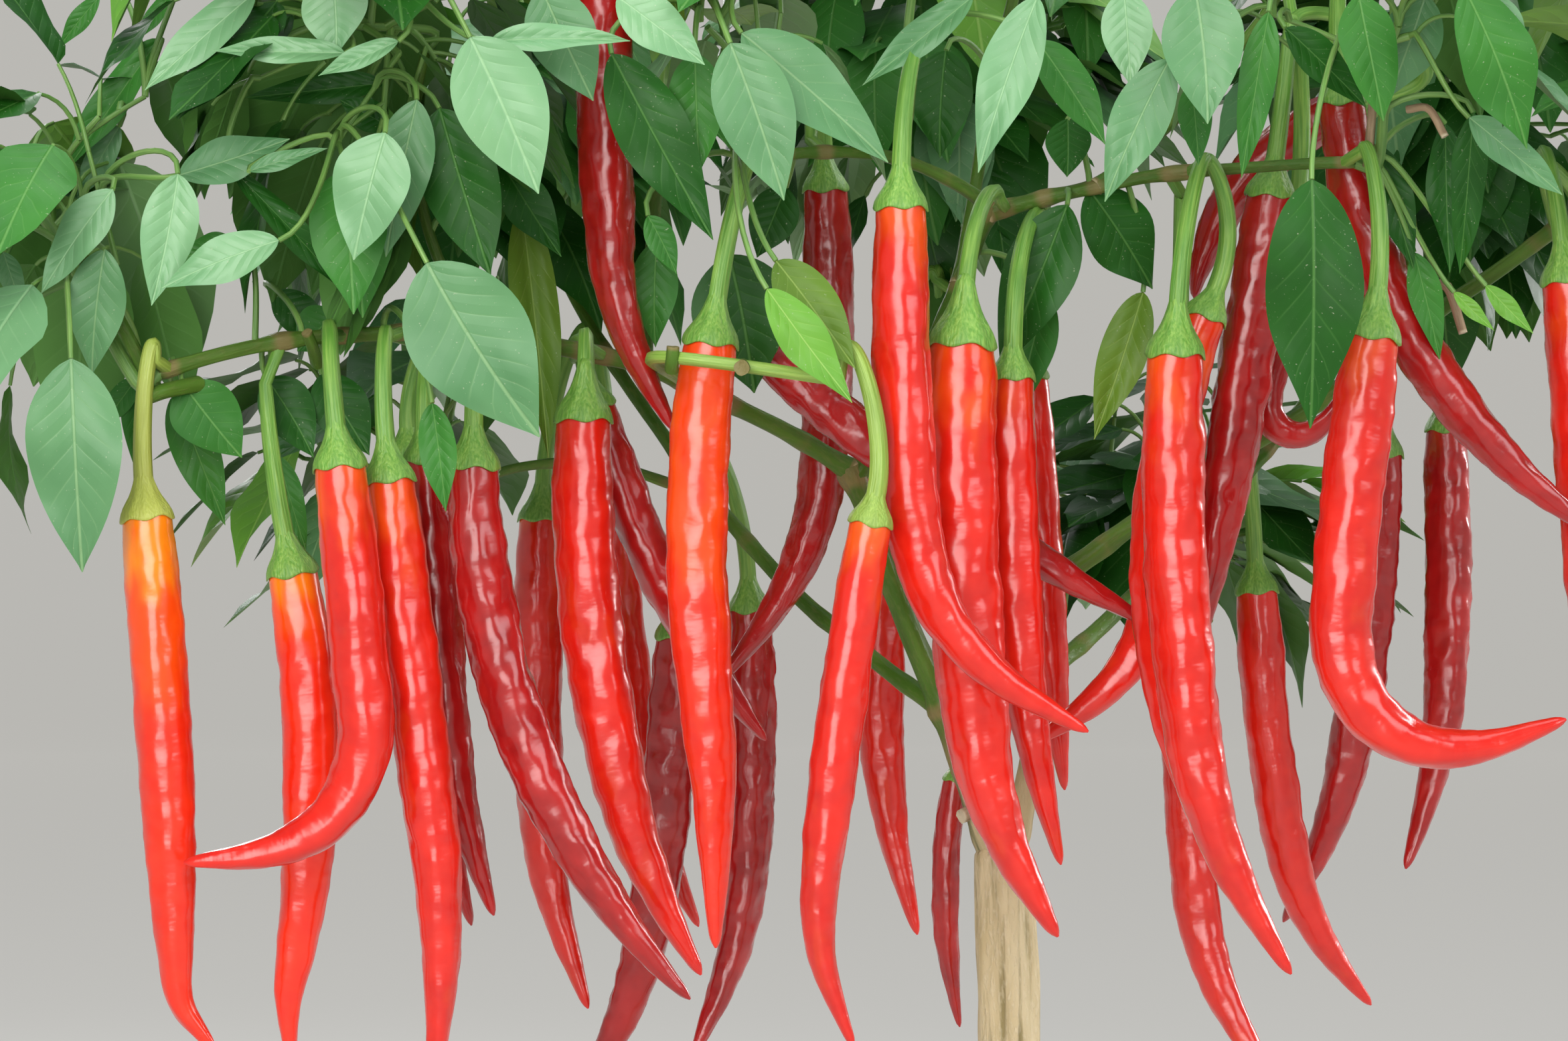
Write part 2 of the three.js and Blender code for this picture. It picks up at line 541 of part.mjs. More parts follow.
// Whether a shape keeps clear of every limb and fruit; marks inside the free ball don't count
function clearOfObstacles(shape, free) {
  const ball = new THREE.Sphere().setFromPoints(shape.vertices);
  const triangles = shape.faces.map((face) => toTriangle(shape.vertices, face));
  const nearest = new THREE.Vector3();
  return obstacles.every(({ centre, radius }) => {
    const need = radius + LIMB_CLEARANCE;
    if (centre.distanceTo(ball.center) > ball.radius + need) return true;
    if (free && centre.distanceTo(free.centre) < free.radius) return true;
    return triangles.every((triangle) => {
      triangle.closestPointToPoint(centre, nearest);
      return nearest.distanceTo(centre) > need;
    });
  });
}

// Every mass keeps to the points that lie deeper in it than in any other
const depthIn = (mass, point) => {
  const size = (mass.reach[0] + mass.reach[1] + mass.reach[2]) / 3;
  return vector(mass.heart).distanceToSquared(point) - size * size;
};
function insideOwnSpace(mass, vertices) {
  const heart = vector(mass.heart);
  const reach = vector(mass.reach);
  return vertices.every((vertex) => {
    if (vertex.clone().sub(heart).divide(reach).length() > REACH_ALLOWED) return false;
    return MASSES.every((other) => {
      if (other === mass) return true;
      const apart = vector(other.heart).distanceTo(heart);
      return depthIn(other, vertex) - depthIn(mass, vertex) > 2 * CELL_MARGIN * apart;
    });
  });
}

// Whether a solid would cross any of the others
const crosses = (solid, others) => others.some((other) => !solid.intersect(other).isEmpty());

// A leaf direction turned about its twig by a number of steps: outward, aside and drooping
function leafDirection(outward, along, swing, droop, attempt) {
  const around = swing + attempt * degrees(SPIRAL_TURN);
  const direction = new THREE.Vector3(Math.cos(around), Math.sin(around), LEAF_TURN.lift)
    .multiplyScalar(LEAF_TURN.aside)
    .addScaledVector(outward, LEAF_TURN.outward)
    .addScaledVector(along, LEAF_TURN.along);
  direction.z -= droop;
  return direction.normalize();
}

// Tries a leaf in several turns about its root and returns the first solid that fits
function fittingLeaf(mass, root, along, draw, shapeFor, { free, grown, leastSpread }) {
  const outward = root.clone().sub(vector(mass.heart)).divide(vector(mass.reach)).normalize();
  const upward = new THREE.Vector3(outward.x * LEAF_FACING_OUT, outward.y * LEAF_FACING_OUT, 1).normalize();
  const length = blend(...LEAF_LENGTH, draw());
  const swing = draw() * 2 * Math.PI;
  const droop = blend(...LEAF_DROOP, draw());
  for (let attempt = 0; attempt < LEAF_ATTEMPTS; attempt += 1) {
    const frame = leafFrame(leafDirection(outward, along, swing, droop, attempt), upward);
    const shape = shapeFor(frame, length * (1 - LEAF_SHRINK * attempt));
    const spread = frame.direction.dot(along) < leastSpread;
    if (spread && insideOwnSpace(mass, shape.vertices) && clearOfObstacles(shape, free)) {
      const solid = solidOf(shape);
      if (!crosses(solid, grown)) return solid;
    }
  }
  return null;
}

// The ends of a mass's twigs, evenly turned about its heart and nearest to the stem first
function twigEnds(mass, draw, tip) {
  const ends = [];
  for (let k = 0; k < mass.twigs; k += 1) {
    const height = 1 - (2 * (k + 0.5)) / mass.twigs;
    const around = k * degrees(SPIRAL_TURN) + draw() * TWIG_JITTER;
    const ring = Math.sqrt(1 - height * height);
    const share = blend(...TWIG_REACH, draw());
    const offset = new THREE.Vector3(ring * Math.cos(around), ring * Math.sin(around), height);
    ends.push(vector(mass.heart).addScaledVector(offset.multiply(vector(mass.reach)), share));
  }
  return ends.sort((a, b) => a.distanceTo(tip) - b.distanceTo(tip));
}

// The stem of a mass: from its limb's tip through the heart and a little beyond
function stemOf(mass) {
  const { points, radii } = lines.get(mass.on);
  const { point: tip, heading } = placeOn(points, 1);
  const heart = vector(mass.heart);
  const line = [
    tip.clone(),
    tip.clone().addScaledVector(heading, COLLAR_LENGTH),
    heart,
    heart.clone().lerp(tip, -STEM_BEYOND),
  ];
  const stemRadii = STEM_TAPER.map((share) => share * radii.at(-1));
  return { tip, line, solid: solidOf(closedTube(line, stemRadii, STEM_SIDES)) };
}

// Every twig leaves the stem at its own knot and ends in a leaf, with more leaves along it
function growMass(mass) {
  const draw = seededDraws(mass.seed);
  const stem = stemOf(mass);
  const free = { centre: stem.tip, radius: 2 * COLLAR_LENGTH };
  const twigs = [];
  twigEnds(mass, draw, stem.tip).forEach((end, i) => {
    const start = placeOn(stem.line, blend(...KNOT_RANGE, (i + 0.5) / mass.twigs)).point;
    const along = end.clone().sub(start).normalize();
    const shapeFor = (frame, length) => leafyTwigShape(start, end, frame, length);
    const grown = twigs.map((twig) => twig.solid);
    const limits = { free, grown, leastSpread: 1 };
    const solid = fittingLeaf(mass, end, along, draw, shapeFor, limits);
    if (solid) twigs.push({ start, end, along, solid });
  });
  const leaves = [];
  twigs.forEach((twig) => {
    const others = twigs.filter((other) => other !== twig).map((other) => other.solid);
    SIDE_LEAF_PLACES.forEach((place) => {
      const root = twig.start.clone().lerp(twig.end, place);
      const shapeFor = (frame, length) => leafShape(root, frame, length);
      const grown = [stem.solid, ...others, ...leaves];
      const limits = { free: null, grown, leastSpread: SIDE_LEAF_SPREAD };
      const leaf = fittingLeaf(mass, root, twig.along, draw, shapeFor, limits);
      if (leaf) leaves.push(leaf);
    });
  });
  const solid = Manifold.union([stem.solid, ...twigs.map((twig) => twig.solid), ...leaves]);
  group.add(meshOf(mass.name, cutClear(solid, [...swollenLimbs, ...swollenFruits]), COLOURS.leaf,
    ROUGHNESS.leaf));
}

addTrunk();
LIMBS.forEach(addLimb);
RIPE_FRUITS.forEach(addFruitSpur);
BACK_FRUITS.map(backSpur).forEach(addFruitSpur);
MASSES.forEach(growMass);

export default group;
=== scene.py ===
import math

import bpy
import numpy as np
from mathutils import Matrix, Vector, noise


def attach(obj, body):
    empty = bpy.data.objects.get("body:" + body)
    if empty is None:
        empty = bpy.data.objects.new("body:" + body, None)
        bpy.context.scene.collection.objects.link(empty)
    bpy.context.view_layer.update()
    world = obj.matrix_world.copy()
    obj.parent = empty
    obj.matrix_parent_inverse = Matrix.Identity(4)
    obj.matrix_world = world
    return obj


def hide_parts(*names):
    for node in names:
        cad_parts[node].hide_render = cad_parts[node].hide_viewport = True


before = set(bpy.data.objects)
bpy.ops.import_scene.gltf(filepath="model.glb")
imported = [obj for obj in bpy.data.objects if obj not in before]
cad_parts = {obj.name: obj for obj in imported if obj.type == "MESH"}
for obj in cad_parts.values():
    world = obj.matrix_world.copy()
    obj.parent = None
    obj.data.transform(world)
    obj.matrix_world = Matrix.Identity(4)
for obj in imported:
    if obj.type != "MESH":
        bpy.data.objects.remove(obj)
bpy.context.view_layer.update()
print("frame loaded:", len(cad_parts), "nodes")

# Tables and rules are in millimetres, as in the model; meshes are made in metres
millimetre = 0.001


# Shared helpers

# Rows of a table as dictionaries, under the table's own labels
def labelled(labels, rows):
    return [dict(zip(labels.split(), row)) for row in rows]


def linked(name, data):
    made = bpy.data.objects.new(name, data)
    bpy.context.collection.objects.link(made)
    return made


# A mesh with attributes on its points: int32 marks stay whole, rows of three are vectors
def newMesh(name, points, edges=(), faces=(), **marks):
    mesh = bpy.data.meshes.new(name)
    mesh.from_pydata([tuple(point) for point in points], edges, faces)
    for key, values in marks.items():
        values = np.asarray(values)
        vector, whole = values.ndim > 1, values.dtype == np.int32
        kind = "FLOAT_VECTOR" if vector else "INT" if whole else "FLOAT"
        flat = values.astype(np.int32 if whole else np.float32).ravel()
        mesh.attributes.new(key, kind, "POINT").data.foreach_set("vector" if vector else "value", flat)
    return mesh


# Faces between rows of points; in a closed grid the last column meets the first
def gridFaces(rows, columns, closed=False):
    faces = []
    for i in range(rows - 1):
        for j in range(columns if closed else columns - 1):
            here, beside = i * columns + j, i * columns + (j + 1) % columns
            faces.append((here, here + columns, beside + columns, beside))
    return faces


def newMaterial(name, **values):
    material = bpy.data.materials.new(name)
    material.use_nodes = True
    shader = material.node_tree.nodes["Principled BSDF"]
    for label, value in values.items():
        shader.inputs[label.replace("_", " ")].default_value = value
    return material, shader


# Camera, backdrop and light

camera = {
    "place": (-74.3, -1400.0, 356.8),   # the lens looks level along +Y, from a step away
    "lens": 100.3,
    "sensor": 36.0,
    "clip": (0.01, 50),
}
picture = (2362, 1568)      # the photograph's own pixels

backdrop = {    # a round floor that bends up into a low wall all the way round, in metres
    "flat": 5.4, "bendRadius": 0.9, "bendSteps": 16, "top": 2.0, "sides": 96,
    "colour": (0.19, 0.188, 0.182), "glow": (0.405, 0.396, 0.372), "roughness": 0.9,
}

skyColour, skyStrength = (0.88, 0.94, 1.0), 0.24
# Place and aim in metres, width and height, watts, spread in degrees
softboxes = labelled("name place aim size power spread colour", [
    ("keyLight", (-0.5, -1.85, 0.88), (-0.05, 0, 0.40), (1.4, 1.7), 16, 110, (1.0, 0.98, 0.96)),
    ("fillLight", (1.6, -1.5, 1.2), (0, 0, 0.4), (1.2, 1.4), 6, 100, (0.97, 0.98, 1.0)),
    ("skyLight", (0.0, 0.0, 2.2), (0, 0, 0.4), (2.2, 2.2), 33, 180, (0.94, 0.98, 1.0)),
    ("rimLight", (1.3, 0.8, 1.1), (0, 0, 0.4), (0.5, 1.3), 12, 110, (1.0, 1.0, 1.0)),
    ("backLight", (-0.8, 1.8, 1.3), (0, 0, 0.4), (0.5, 1.2), 3.5, 90, (1.0, 1.0, 1.0)),
])


def makeCamera():
    lens = bpy.data.cameras.new("plantCamera")
    lens.lens = camera["lens"]
    lens.sensor_width = camera["sensor"]
    lens.clip_start, lens.clip_end = camera["clip"]
    seat = linked("plantCamera", lens)
    seat.location = Vector(camera["place"]) * millimetre
    seat.rotation_euler = (math.radians(90), 0, 0)
    bpy.context.scene.camera = seat


def makeBackdrop():
    flat, radius, sides = backdrop["flat"], backdrop["bendRadius"], backdrop["sides"]
    turns = [math.radians(90) * i / backdrop["bendSteps"] for i in range(backdrop["bendSteps"] + 1)]
    profile = [(flat + radius * math.sin(turn), radius - radius * math.cos(turn)) for turn in turns]
    profile.append((flat + radius, backdrop["top"]))
    rounds = [2 * math.pi * j / sides for j in range(sides)]
    verts = [(out * math.cos(angle), out * math.sin(angle), z) for out, z in profile for angle in rounds]
    floor = tuple(range(sides))
    mesh = newMesh("backdrop", verts, faces=[floor, *gridFaces(len(profile), sides, closed=True)])
    mesh.shade_smooth()
    paper, _ = newMaterial(
        "backdropPaper", Base_Color=(*backdrop["colour"], 1), Roughness=backdrop["roughness"],
        Emission_Color=(*backdrop["glow"], 1), Emission_Strength=1.0)
    mesh.materials.append(paper)
    linked("backdrop", mesh)


def makeLights():
    world = bpy.data.worlds.new("softSky")
    bpy.context.scene.world = world
    world.use_nodes = True
    sky = world.node_tree.nodes["Background"]
    sky.inputs["Color"].default_value = (*skyColour, 1)
    sky.inputs["Strength"].default_value = skyStrength
    bpy.context.scene.view_settings.view_transform = "Standard"
    for box in softboxes:
        lamp = bpy.data.lights.new(box["name"], "AREA")
        lamp.shape = "RECTANGLE"
        lamp.size, lamp.size_y = box["size"]
        lamp.energy = box["power"]
        lamp.spread = math.radians(box["spread"])
        lamp.color = box["colour"]
        stand = linked(box["name"], lamp)
        stand.location = box["place"]
        toward = Vector(box["aim"]) - Vector(box["place"])
        stand.rotation_euler = toward.to_track_quat("-Z", "Y").to_euler()
        stand.visible_camera = False


makeCamera()
makeBackdrop()
makeLights()
print("camera, backdrop and lights made")


# The rule of growth, as in the model. Only the trunk is thicker here, by its bark, and the fruits'
# lower halves are a little fuller.

plant = {
    "forkHeight": 249, "trunkLean": (-4, 0), "leanCurve": 1.6, "trunkRadius": (12.2, 9.4),
    "flareExtra": 6.5, "flareHeight": 13, "crownOfFork": 6,
    "calyxLength": 9, "pedicelRadius": 2.3, "pedicelSwell": (0.85, 1.25), "spurRadius": 1.9,
    "stalkPull": (0.16, 0.45), "fleshTop": 0.86, "shoulderEnd": 0.14, "bodyEnd": 0.38,
    "tailLoss": 0.85, "tailCurve": 2.15, "tailEnd": 0.94,
    "spiralTurn": math.radians(137.5), "twigReach": (0.36, 0.62), "twigJitter": 0.7,
    "knotRange": (0.3, 0.98), "collar": 7, "stemBeyond": 0.35, "stemTaper": (1, 0.95, 0.85, 0.7),
    "reachAllowed": 1.1, "step": 2.5,
}

# Limbs: what each springs from and where, its tip, how far its middle bows, its radius at both ends
limbs = labelled("name on at to bow radius", [
    ("limb-left", "trunk", 0.965, (-54, -22, 374), (1, 2, -2), (4.4, 3.2)),
    ("limb-right", "trunk", 0.965, (14, 0, 340), (2, 0, 0), (4.2, 3.4)),
    ("arm-left", "limb-left", 0.99, (-262, -90, 401), (0, -2, 26), (2.9, 2.1)),
    ("arm-right", "limb-right", 0.985, (222, 22, 484), (-6, 0, -5), (3.2, 2.2)),
    ("limb-center", "limb-left", 0.97, (-10, -42, 455), (3, 3, 0), (2.9, 2.4)),
    ("bough-center-left", "limb-center", 0.99, (-82, -72, 467), (6, 0, 7), (2.1, 1.7)),
    ("bough-center-right", "limb-center", 0.97, (100, -68, 466), (0, 2, 4), (2.3, 1.7)),
    ("spur-center", "bough-center-left", 0.43, (-36, -84, 502), (2, -5, 1), (1.8, 1.6)),
    ("stem-left", "arm-left", 0.57, (-184, -62, 500), (-9, 0, 0), (1.9, 1.5)),
    ("stem-top-left", "arm-left", 0.33, (-117, -46, 622), (4, 10, 0), (2.2, 1.6)),
    ("stem-top", "limb-center", 0.72, (14, -14, 606), (-2, 6, -6), (2.3, 1.7)),
    ("bough-right-upper", "bough-center-right", 0.3, (106, -14, 566), (4, -2, -8), (2, 1.6)),
    ("limb-back", "trunk", 0.975, (-14, 150, 452), (4, 26, -8), (3.6, 2.2)),
    ("limb-back-left", "limb-left", 0.42, (-150, 112, 440), (-4, 8, -14), (3, 2)),
    ("limb-back-right", "limb-right", 0.7, (140, 128, 446), (0, 8, -14), (3, 2)),
    ("bough-low-left", "limb-back-left", 0.55, (-168, 22, 372), (-6, 4, 8), (1.9, 1.5)),
    ("bough-low-back", "limb-back", 0.5, (42, 158, 356), (0, 6, 6), (1.9, 1.5)),
])

# Masses of leaves: the limb that carries each, its heart, its reach, its twigs and its seed
masses = labelled("name on heart reach twigs seed", [
    ("foliage-left-tip", "arm-left", (-292, -84, 440), (60, 78, 88), 12, 11),
    ("foliage-left", "stem-left", (-206, -84, 506), (80, 84, 92), 14, 23),
    ("foliage-top-left", "stem-top-left", (-128, -30, 634), (92, 96, 74), 16, 39),
    ("foliage-center-left", "bough-center-left", (-92, -78, 502), (58, 70, 76), 13, 41),
    ("foliage-center", "spur-center", (-30, -100, 560), (60, 70, 62), 11, 53),
    ("foliage-top", "stem-top", (6, 2, 644), (82, 88, 72), 13, 67),
    ("foliage-center-right", "bough-center-right", (106, -94, 494), (66, 68, 78), 13, 71),
    ("foliage-top-right", "bough-right-upper", (132, -18, 596), (92, 92, 78), 13, 83),
    ("foliage-right", "arm-right", (234, -8, 492), (78, 96, 88), 13, 97),
    ("foliage-back-left", "limb-back-left", (-178, 116, 482), (96, 92, 92), 13, 103),
    ("foliage-back", "limb-back", (-22, 160, 520), (92, 92, 96), 14, 113),
    ("foliage-back-right", "limb-back-right", (158, 132, 501), (94, 92, 94), 13, 127),
    ("foliage-low-left", "bough-low-left", (-196, 10, 372), (76, 72, 66), 11, 139),
    ("foliage-low-back", "bough-low-back", (60, 168, 346), (90, 76, 70), 14, 151),
])
for mass in masses:
    mass["heart"], mass["reach"] = np.array(mass["heart"], float), np.array(mass["reach"], float)

# Fruits: the limb and place of each spur and its corners. Below it stand its fruits, each with its top,
# length, width, lean, bend, the turn of its tail and where that begins, the arch of its stalk, its bearing
fruitLabels = "top length width lean bend tail tailFrom arch bearing"
fruitSpurs = labelled("name on at spur fruits", [
    ("fruit-left-end", "arm-left", 0.985, [(-262, -97, 405)], [
        ((-264, -100, 359), 164, 17, 5, -3, 36, 0.84, 9)]),
    ("fruit-left-hanging", "arm-left", 0.83, [(-231, -80, 398)], [
        ((-223, -80, 342), 150, 17, 11, -27, 18, 0.8, -3)]),
    ("fruit-left-curled", "arm-left", 0.75, [(-211, -88, 412)], [
        ((-205, -115, 374), 154, 17, 6, 0, -91, 0.42, 5)]),
    ("fruit-left-grooved", "arm-left", 0.67, [(-194, -84, 412)], [
        ((-192, -98, 370), 186, 17, 6, 4, -14, 0.5, 4)]),
    ("fruit-left-pair", "arm-left", 0.61, [(-182, -56, 408)], [
        ((-183, -76, 376), 141, 15, 3, 6, 9, 0.5, 5),
        ((-190, -52, 378), 148, 14, 2, 6, 9, 0.5, 6)]),
    ("fruit-left-dark", "arm-left", 0.555, [(-167, -76, 412)], [
        ((-167, -96, 374), 177, 17, 0, 44, 0, 0.5, 5)]),
    ("fruit-middle-left", "arm-left", 0.39, [(-135, -66, 410)], [
        ((-135, -76, 389), 176, 19, -2, 24, 8, 0.6, 4)]),
    ("fruit-middle-behind", "arm-left", 0.42, [(-139, -44, 407)], [
        ((-133, -46, 393), 118, 14, 15, 24, 0, 0.5, 6)]),
    ("fruit-high", "stem-top-left", 0.9, [(-120, -62, 604)], [
        ((-128, -84, 552), 172, 17, -2, 8, 22, 0.6, 6)]),
    ("fruit-middle", "bough-center-left", 0.9, [(-82, -84, 470)], [
        ((-96, -98, 411), 182, 18, -8, 24, -14, 0.55, 2)]),
    ("fruit-maroon", "bough-center-left", 0.74, [(-66, -54, 474)], [
        ((-61, 2, 464), 168, 16, 3, -12, -30, 0.45, 20)]),
    ("fruit-lying", "arm-left", 0.2, [(-97, -44, 402)], [
        ((-80, -52, 408), 146, 14, 48, 14, 0, 0.5, 12)]),
    ("fruit-center-bent", "spur-center", 0.84, [(-33, -96, 500)], [
        ((-40, -117, 450), 178, 17, -1, 12, 50, 0.46, 3)]),
    ("fruit-center-front", "arm-left", 0.27, [(-111, -116, 405), (-58, -122, 398)], [
        ((-49, -130, 357), 156, 14, -10, 6, 26, 0.66, 16)]),
    ("fruit-center-broad", "bough-center-right", 0.05, [(-8, -56, 456)], [
        ((-21, -95, 411), 184, 22, -3, 16, 18, 0.6, 3)]),
    ("fruit-center-pair", "bough-center-right", 0.16, [(7, -34, 452)], [
        ((-5, -74, 401), 150, 15, -1, 10, 6, 0.5, 3),
        ((3, -18, 403), 132, 14, 3, 4, 0, 0.5, 2)]),
    ("fruit-right-swept", "bough-center-right", 0.5, [(49, -44, 458)], [
        ((49, -35, 403), 134, 15, -2, -10, -46, 0.4, 2)]),
    ("fruit-right-pair", "bough-center-right", 0.56, [(54, -72, 466)], [
        ((55, -62, 420), 160, 15, -22, 42, 0, 0.5, 2),
        ((43, -90, 408), 194, 19, -3, 19, 16, 0.55, 3)]),
    ("fruit-upper-right-group", "bough-right-upper", 0.66, [(84, -42, 512)], [
        ((77, -42, 459), 150, 17, -8, -3, 0, 0.5, 3),
        ((88, -18, 452), 98, 12, -4, -24, 176, 0.5, 3),
        ((112, 3, 491), 88, 15, -74, 66, 0, 0.5, 5)]),
    ("fruit-upper-right-arched", "bough-right-upper", 0.8, [(102, -26, 530)], [
        ((98, -50, 487), 164, 16, 4, 54, 0, 0.5, 4)]),
    ("fruit-right-hooked", "bough-center-right", 0.97, [(101, -80, 469)], [
        ((102, -90, 413), 180, 19, -8, 6, 112, 0.42, 3)]),
    ("fruit-far-right", "arm-right", 0.78, [(166, -12, 470)], [
        ((170, -34, 433), 166, 17, 6, -4, 10, 0.5, 6),
        ((196, 30, 402), 150, 16, -3, 10, 0, 0.5, 3, 60)]),
    ("fruit-shrivelled", "limb-back", 0.16, [(-9, 26, 300)], [
        ((-18, 34, 272), 82, 9, -10, 22, 0, 0.5, 4)]),
])
for spur in fruitSpurs:
    spur["fruits"] = labelled(fruitLabels, spur["fruits"])

# Pairs of fruits behind the plant: which way their spur stands off and how they lean
backSpurs = labelled("name on at side lean", [
    ("fruit-back-left-outer", "limb-back-left", 0.86, (-12, 12), 5),
    ("fruit-back-left-inner", "limb-back-left", 0.62, (10, 20), -6),
    ("fruit-back-center", "limb-back", 0.94, (-16, 10), 4),
    ("fruit-back-right-inner", "limb-back-right", 0.6, (-14, 22), 8),
    ("fruit-back-right-outer", "limb-back-right", 0.95, (14, 12), -5),
])


# Draws between 0 and 1, the same in each run
def seededDraws(seed):
    state = [seed]

    def draw():
        state[0] = state[0] * 16807 % 2147483647
        return state[0] / 2147483647
    return draw


def blend(low, high, share):
    return low + (high - low) * share


def tapered(ends, count):
    return blend(*ends, np.linspace(0, 1, count))


def smooth(low, high, value):
    share = np.clip((value - low) / (high - low), 0, 1)
    return share * share * (3 - 2 * share)


def unit(direction):
    direction = np.asarray(direction, float)
    return direction / np.linalg.norm(direction)


def bezier(controls, count):
    share = np.linspace(0, 1, count)[:, None]
    layer = [np.asarray(control, float) for control in controls]
    while len(layer) > 1:
        layer = [a * (1 - share) + b * share for a, b in zip(layer, layer[1:])]
    return layer[0]


def lengthsAlong(points):
    steps = np.linalg.norm(np.diff(points, axis=0), axis=1)
    return np.concatenate([[0], np.cumsum(steps)])


def evenly(points, step):
    along = lengthsAlong(points)
    want = np.linspace(0, along[-1], max(int(along[-1] / step), 3) + 1)
    return np.stack([np.interp(want, along, points[:, k]) for k in range(3)], axis=1)


def placeOn(points, share):
    along = lengthsAlong(points)
    want = min(share, 1) * along[-1]
    point = np.array([np.interp(want, along, points[:, k]) for k in range(3)])
    i = min(int(np.searchsorted(along, want, side="right")), len(points) - 1)
    return point, unit(points[i] - points[i - 1])


# The size of a pixel of the photograph at a depth
def pixelSize(depth):
    return (depth - camera["place"][1]) * camera["sensor"] / (camera["lens"] * picture[0])


# A point of the photograph, at a distance in front of the trunk, and the way back to its pixels
def seenAt(across, down, forward):
    grain = pixelSize(-forward)
    return np.array([camera["place"][0] + (across - picture[0] / 2) * grain, -forward,
                     camera["place"][2] - (down - picture[1] / 2) * grain])


def pixelsOf(points):
    grain = pixelSize(points[:, 1])
    return np.stack([picture[0] / 2 + (points[:, 0] - camera["place"][0]) / grain,
                     picture[1] / 2 - (points[:, 2] - camera["place"][2]) / grain], axis=1)


# A line through a few corner points, rounded by a Catmull-Rom curve
def roundedLine(corners, step):
    corners = [np.asarray(corner, float) for corner in corners]
    padded = [2 * corners[0] - corners[1], *corners, 2 * corners[-1] - corners[-2]]
    pieces = []
    for a, b, c, d in zip(padded, padded[1:], padded[2:], padded[3:]):
        pieces.append(bezier([b, b + (c - a) / 6, c - (d - b) / 6, c], 12)[:-1])
    return evenly(np.concatenate([*pieces, [corners[-1]]]), step)


# Paths: edges with attributes, which the skin tree below turns into tubes

pathsApart = 0.37       # sets each path's pattern apart from the others, in metres


def newPaths():
    return {"points": [], "edges": [], "thick": [], "along": [], "calm": [], "tone": [], "count": 0}


def addPath(paths, points, radii, tone=0.0, calm=0.0):
    first = len(paths["points"])
    along = lengthsAlong(points)
    paths["points"].extend(points * millimetre)
    paths["edges"].extend((first + i, first + i + 1) for i in range(len(points) - 1))
    paths["thick"].extend(np.broadcast_to(radii, len(points)) * millimetre)
    paths["along"].extend(along * millimetre + pathsApart * paths["count"])
    paths["calm"].extend(np.broadcast_to(calm, len(points)))
    paths["tone"].extend(np.broadcast_to(tone, len(points)))
    paths["count"] += 1


# Node trees

# An input takes a value or a link
def addNode(tree, kind, inputs=None, **options):
    made = tree.nodes.new(kind)
    for key, value in options.items():
        setattr(made, key, value)
    for key, value in (inputs or {}).items():
        if isinstance(value, bpy.types.NodeSocket):
            tree.links.new(value, made.inputs[key])
        else:
            made.inputs[key].default_value = value
    return made


# A maths node stands in the tree of its first linked value
def maths(operation, *values):
    tree = next(value.id_data for value in values if isinstance(value, bpy.types.NodeSocket))
    return addNode(tree, "ShaderNodeMath", dict(enumerate(values)), operation=operation).outputs[0]


def times(*values):
    return maths("MULTIPLY", *values)


def plus(*values):
    return maths("ADD", *values)


def minus(*values):
    return maths("SUBTRACT", *values)


def scaledPlus(value, factor, addend):
    return maths("MULTIPLY_ADD", value, factor, addend)


# A tree with its outputs, each by its kind, and its inputs, each by its usual value or by its kind
def newTree(kind, name, made, given):
    tree = bpy.data.node_groups.new(name, kind)
    for label, socketKind in made.items():
        tree.interface.new_socket(label, in_out="OUTPUT", socket_type="NodeSocket" + socketKind)
    for label, value in given.items():
        socketKind = {int: "Int", float: "Float", str: value}[type(value)]
        socket = tree.interface.new_socket(label, in_out="INPUT", socket_type="NodeSocket" + socketKind)
        if socketKind != value:
            socket.default_value = value
    return tree, tree.nodes.new("NodeGroupInput").outputs, tree.nodes.new("NodeGroupOutput").inputs


def geometryTree(name, sizes):
    given = {"Geometry": "Geometry", **sizes, "Material": "Material"}
    return newTree("GeometryNodeTree", name, {"Geometry": "Geometry"}, given)


# The ending that both geometry trees share
def endTree(tree, given, result, geometry):
    made = addNode(tree, "GeometryNodeRealizeInstances", {0: geometry}).outputs[0]
    made = addNode(tree, "GeometryNodeSetShadeSmooth", {"Geometry": made, "Shade Smooth": True}).outputs[0]
    made = addNode(tree, "GeometryNodeSetMaterial", {"Geometry": made, "Material": given["Material"]})
    tree.links.new(made.outputs[0], result[0])


def named(tree, name, kind="FLOAT"):
    made = addNode(tree, "GeometryNodeInputNamedAttribute", {"Name": name}, data_type=kind)
    return made.outputs["Attribute"]


def storeVector(tree, geometry, name, value):
    inputs = {"Geometry": geometry, "Name": name, "Value": value}
    made = addNode(tree, "GeometryNodeStoreNamedAttribute", inputs, data_type="FLOAT_VECTOR", domain="POINT")
    return made.outputs["Geometry"]


def vectorOf(tree, *values):
    return addNode(tree, "ShaderNodeCombineXYZ", dict(enumerate(values))).outputs[0]


def scaledBy(tree, vector, scale):
    return addNode(tree, "ShaderNodeVectorMath", {0: vector, "Scale": scale}, operation="SCALE").outputs[0]


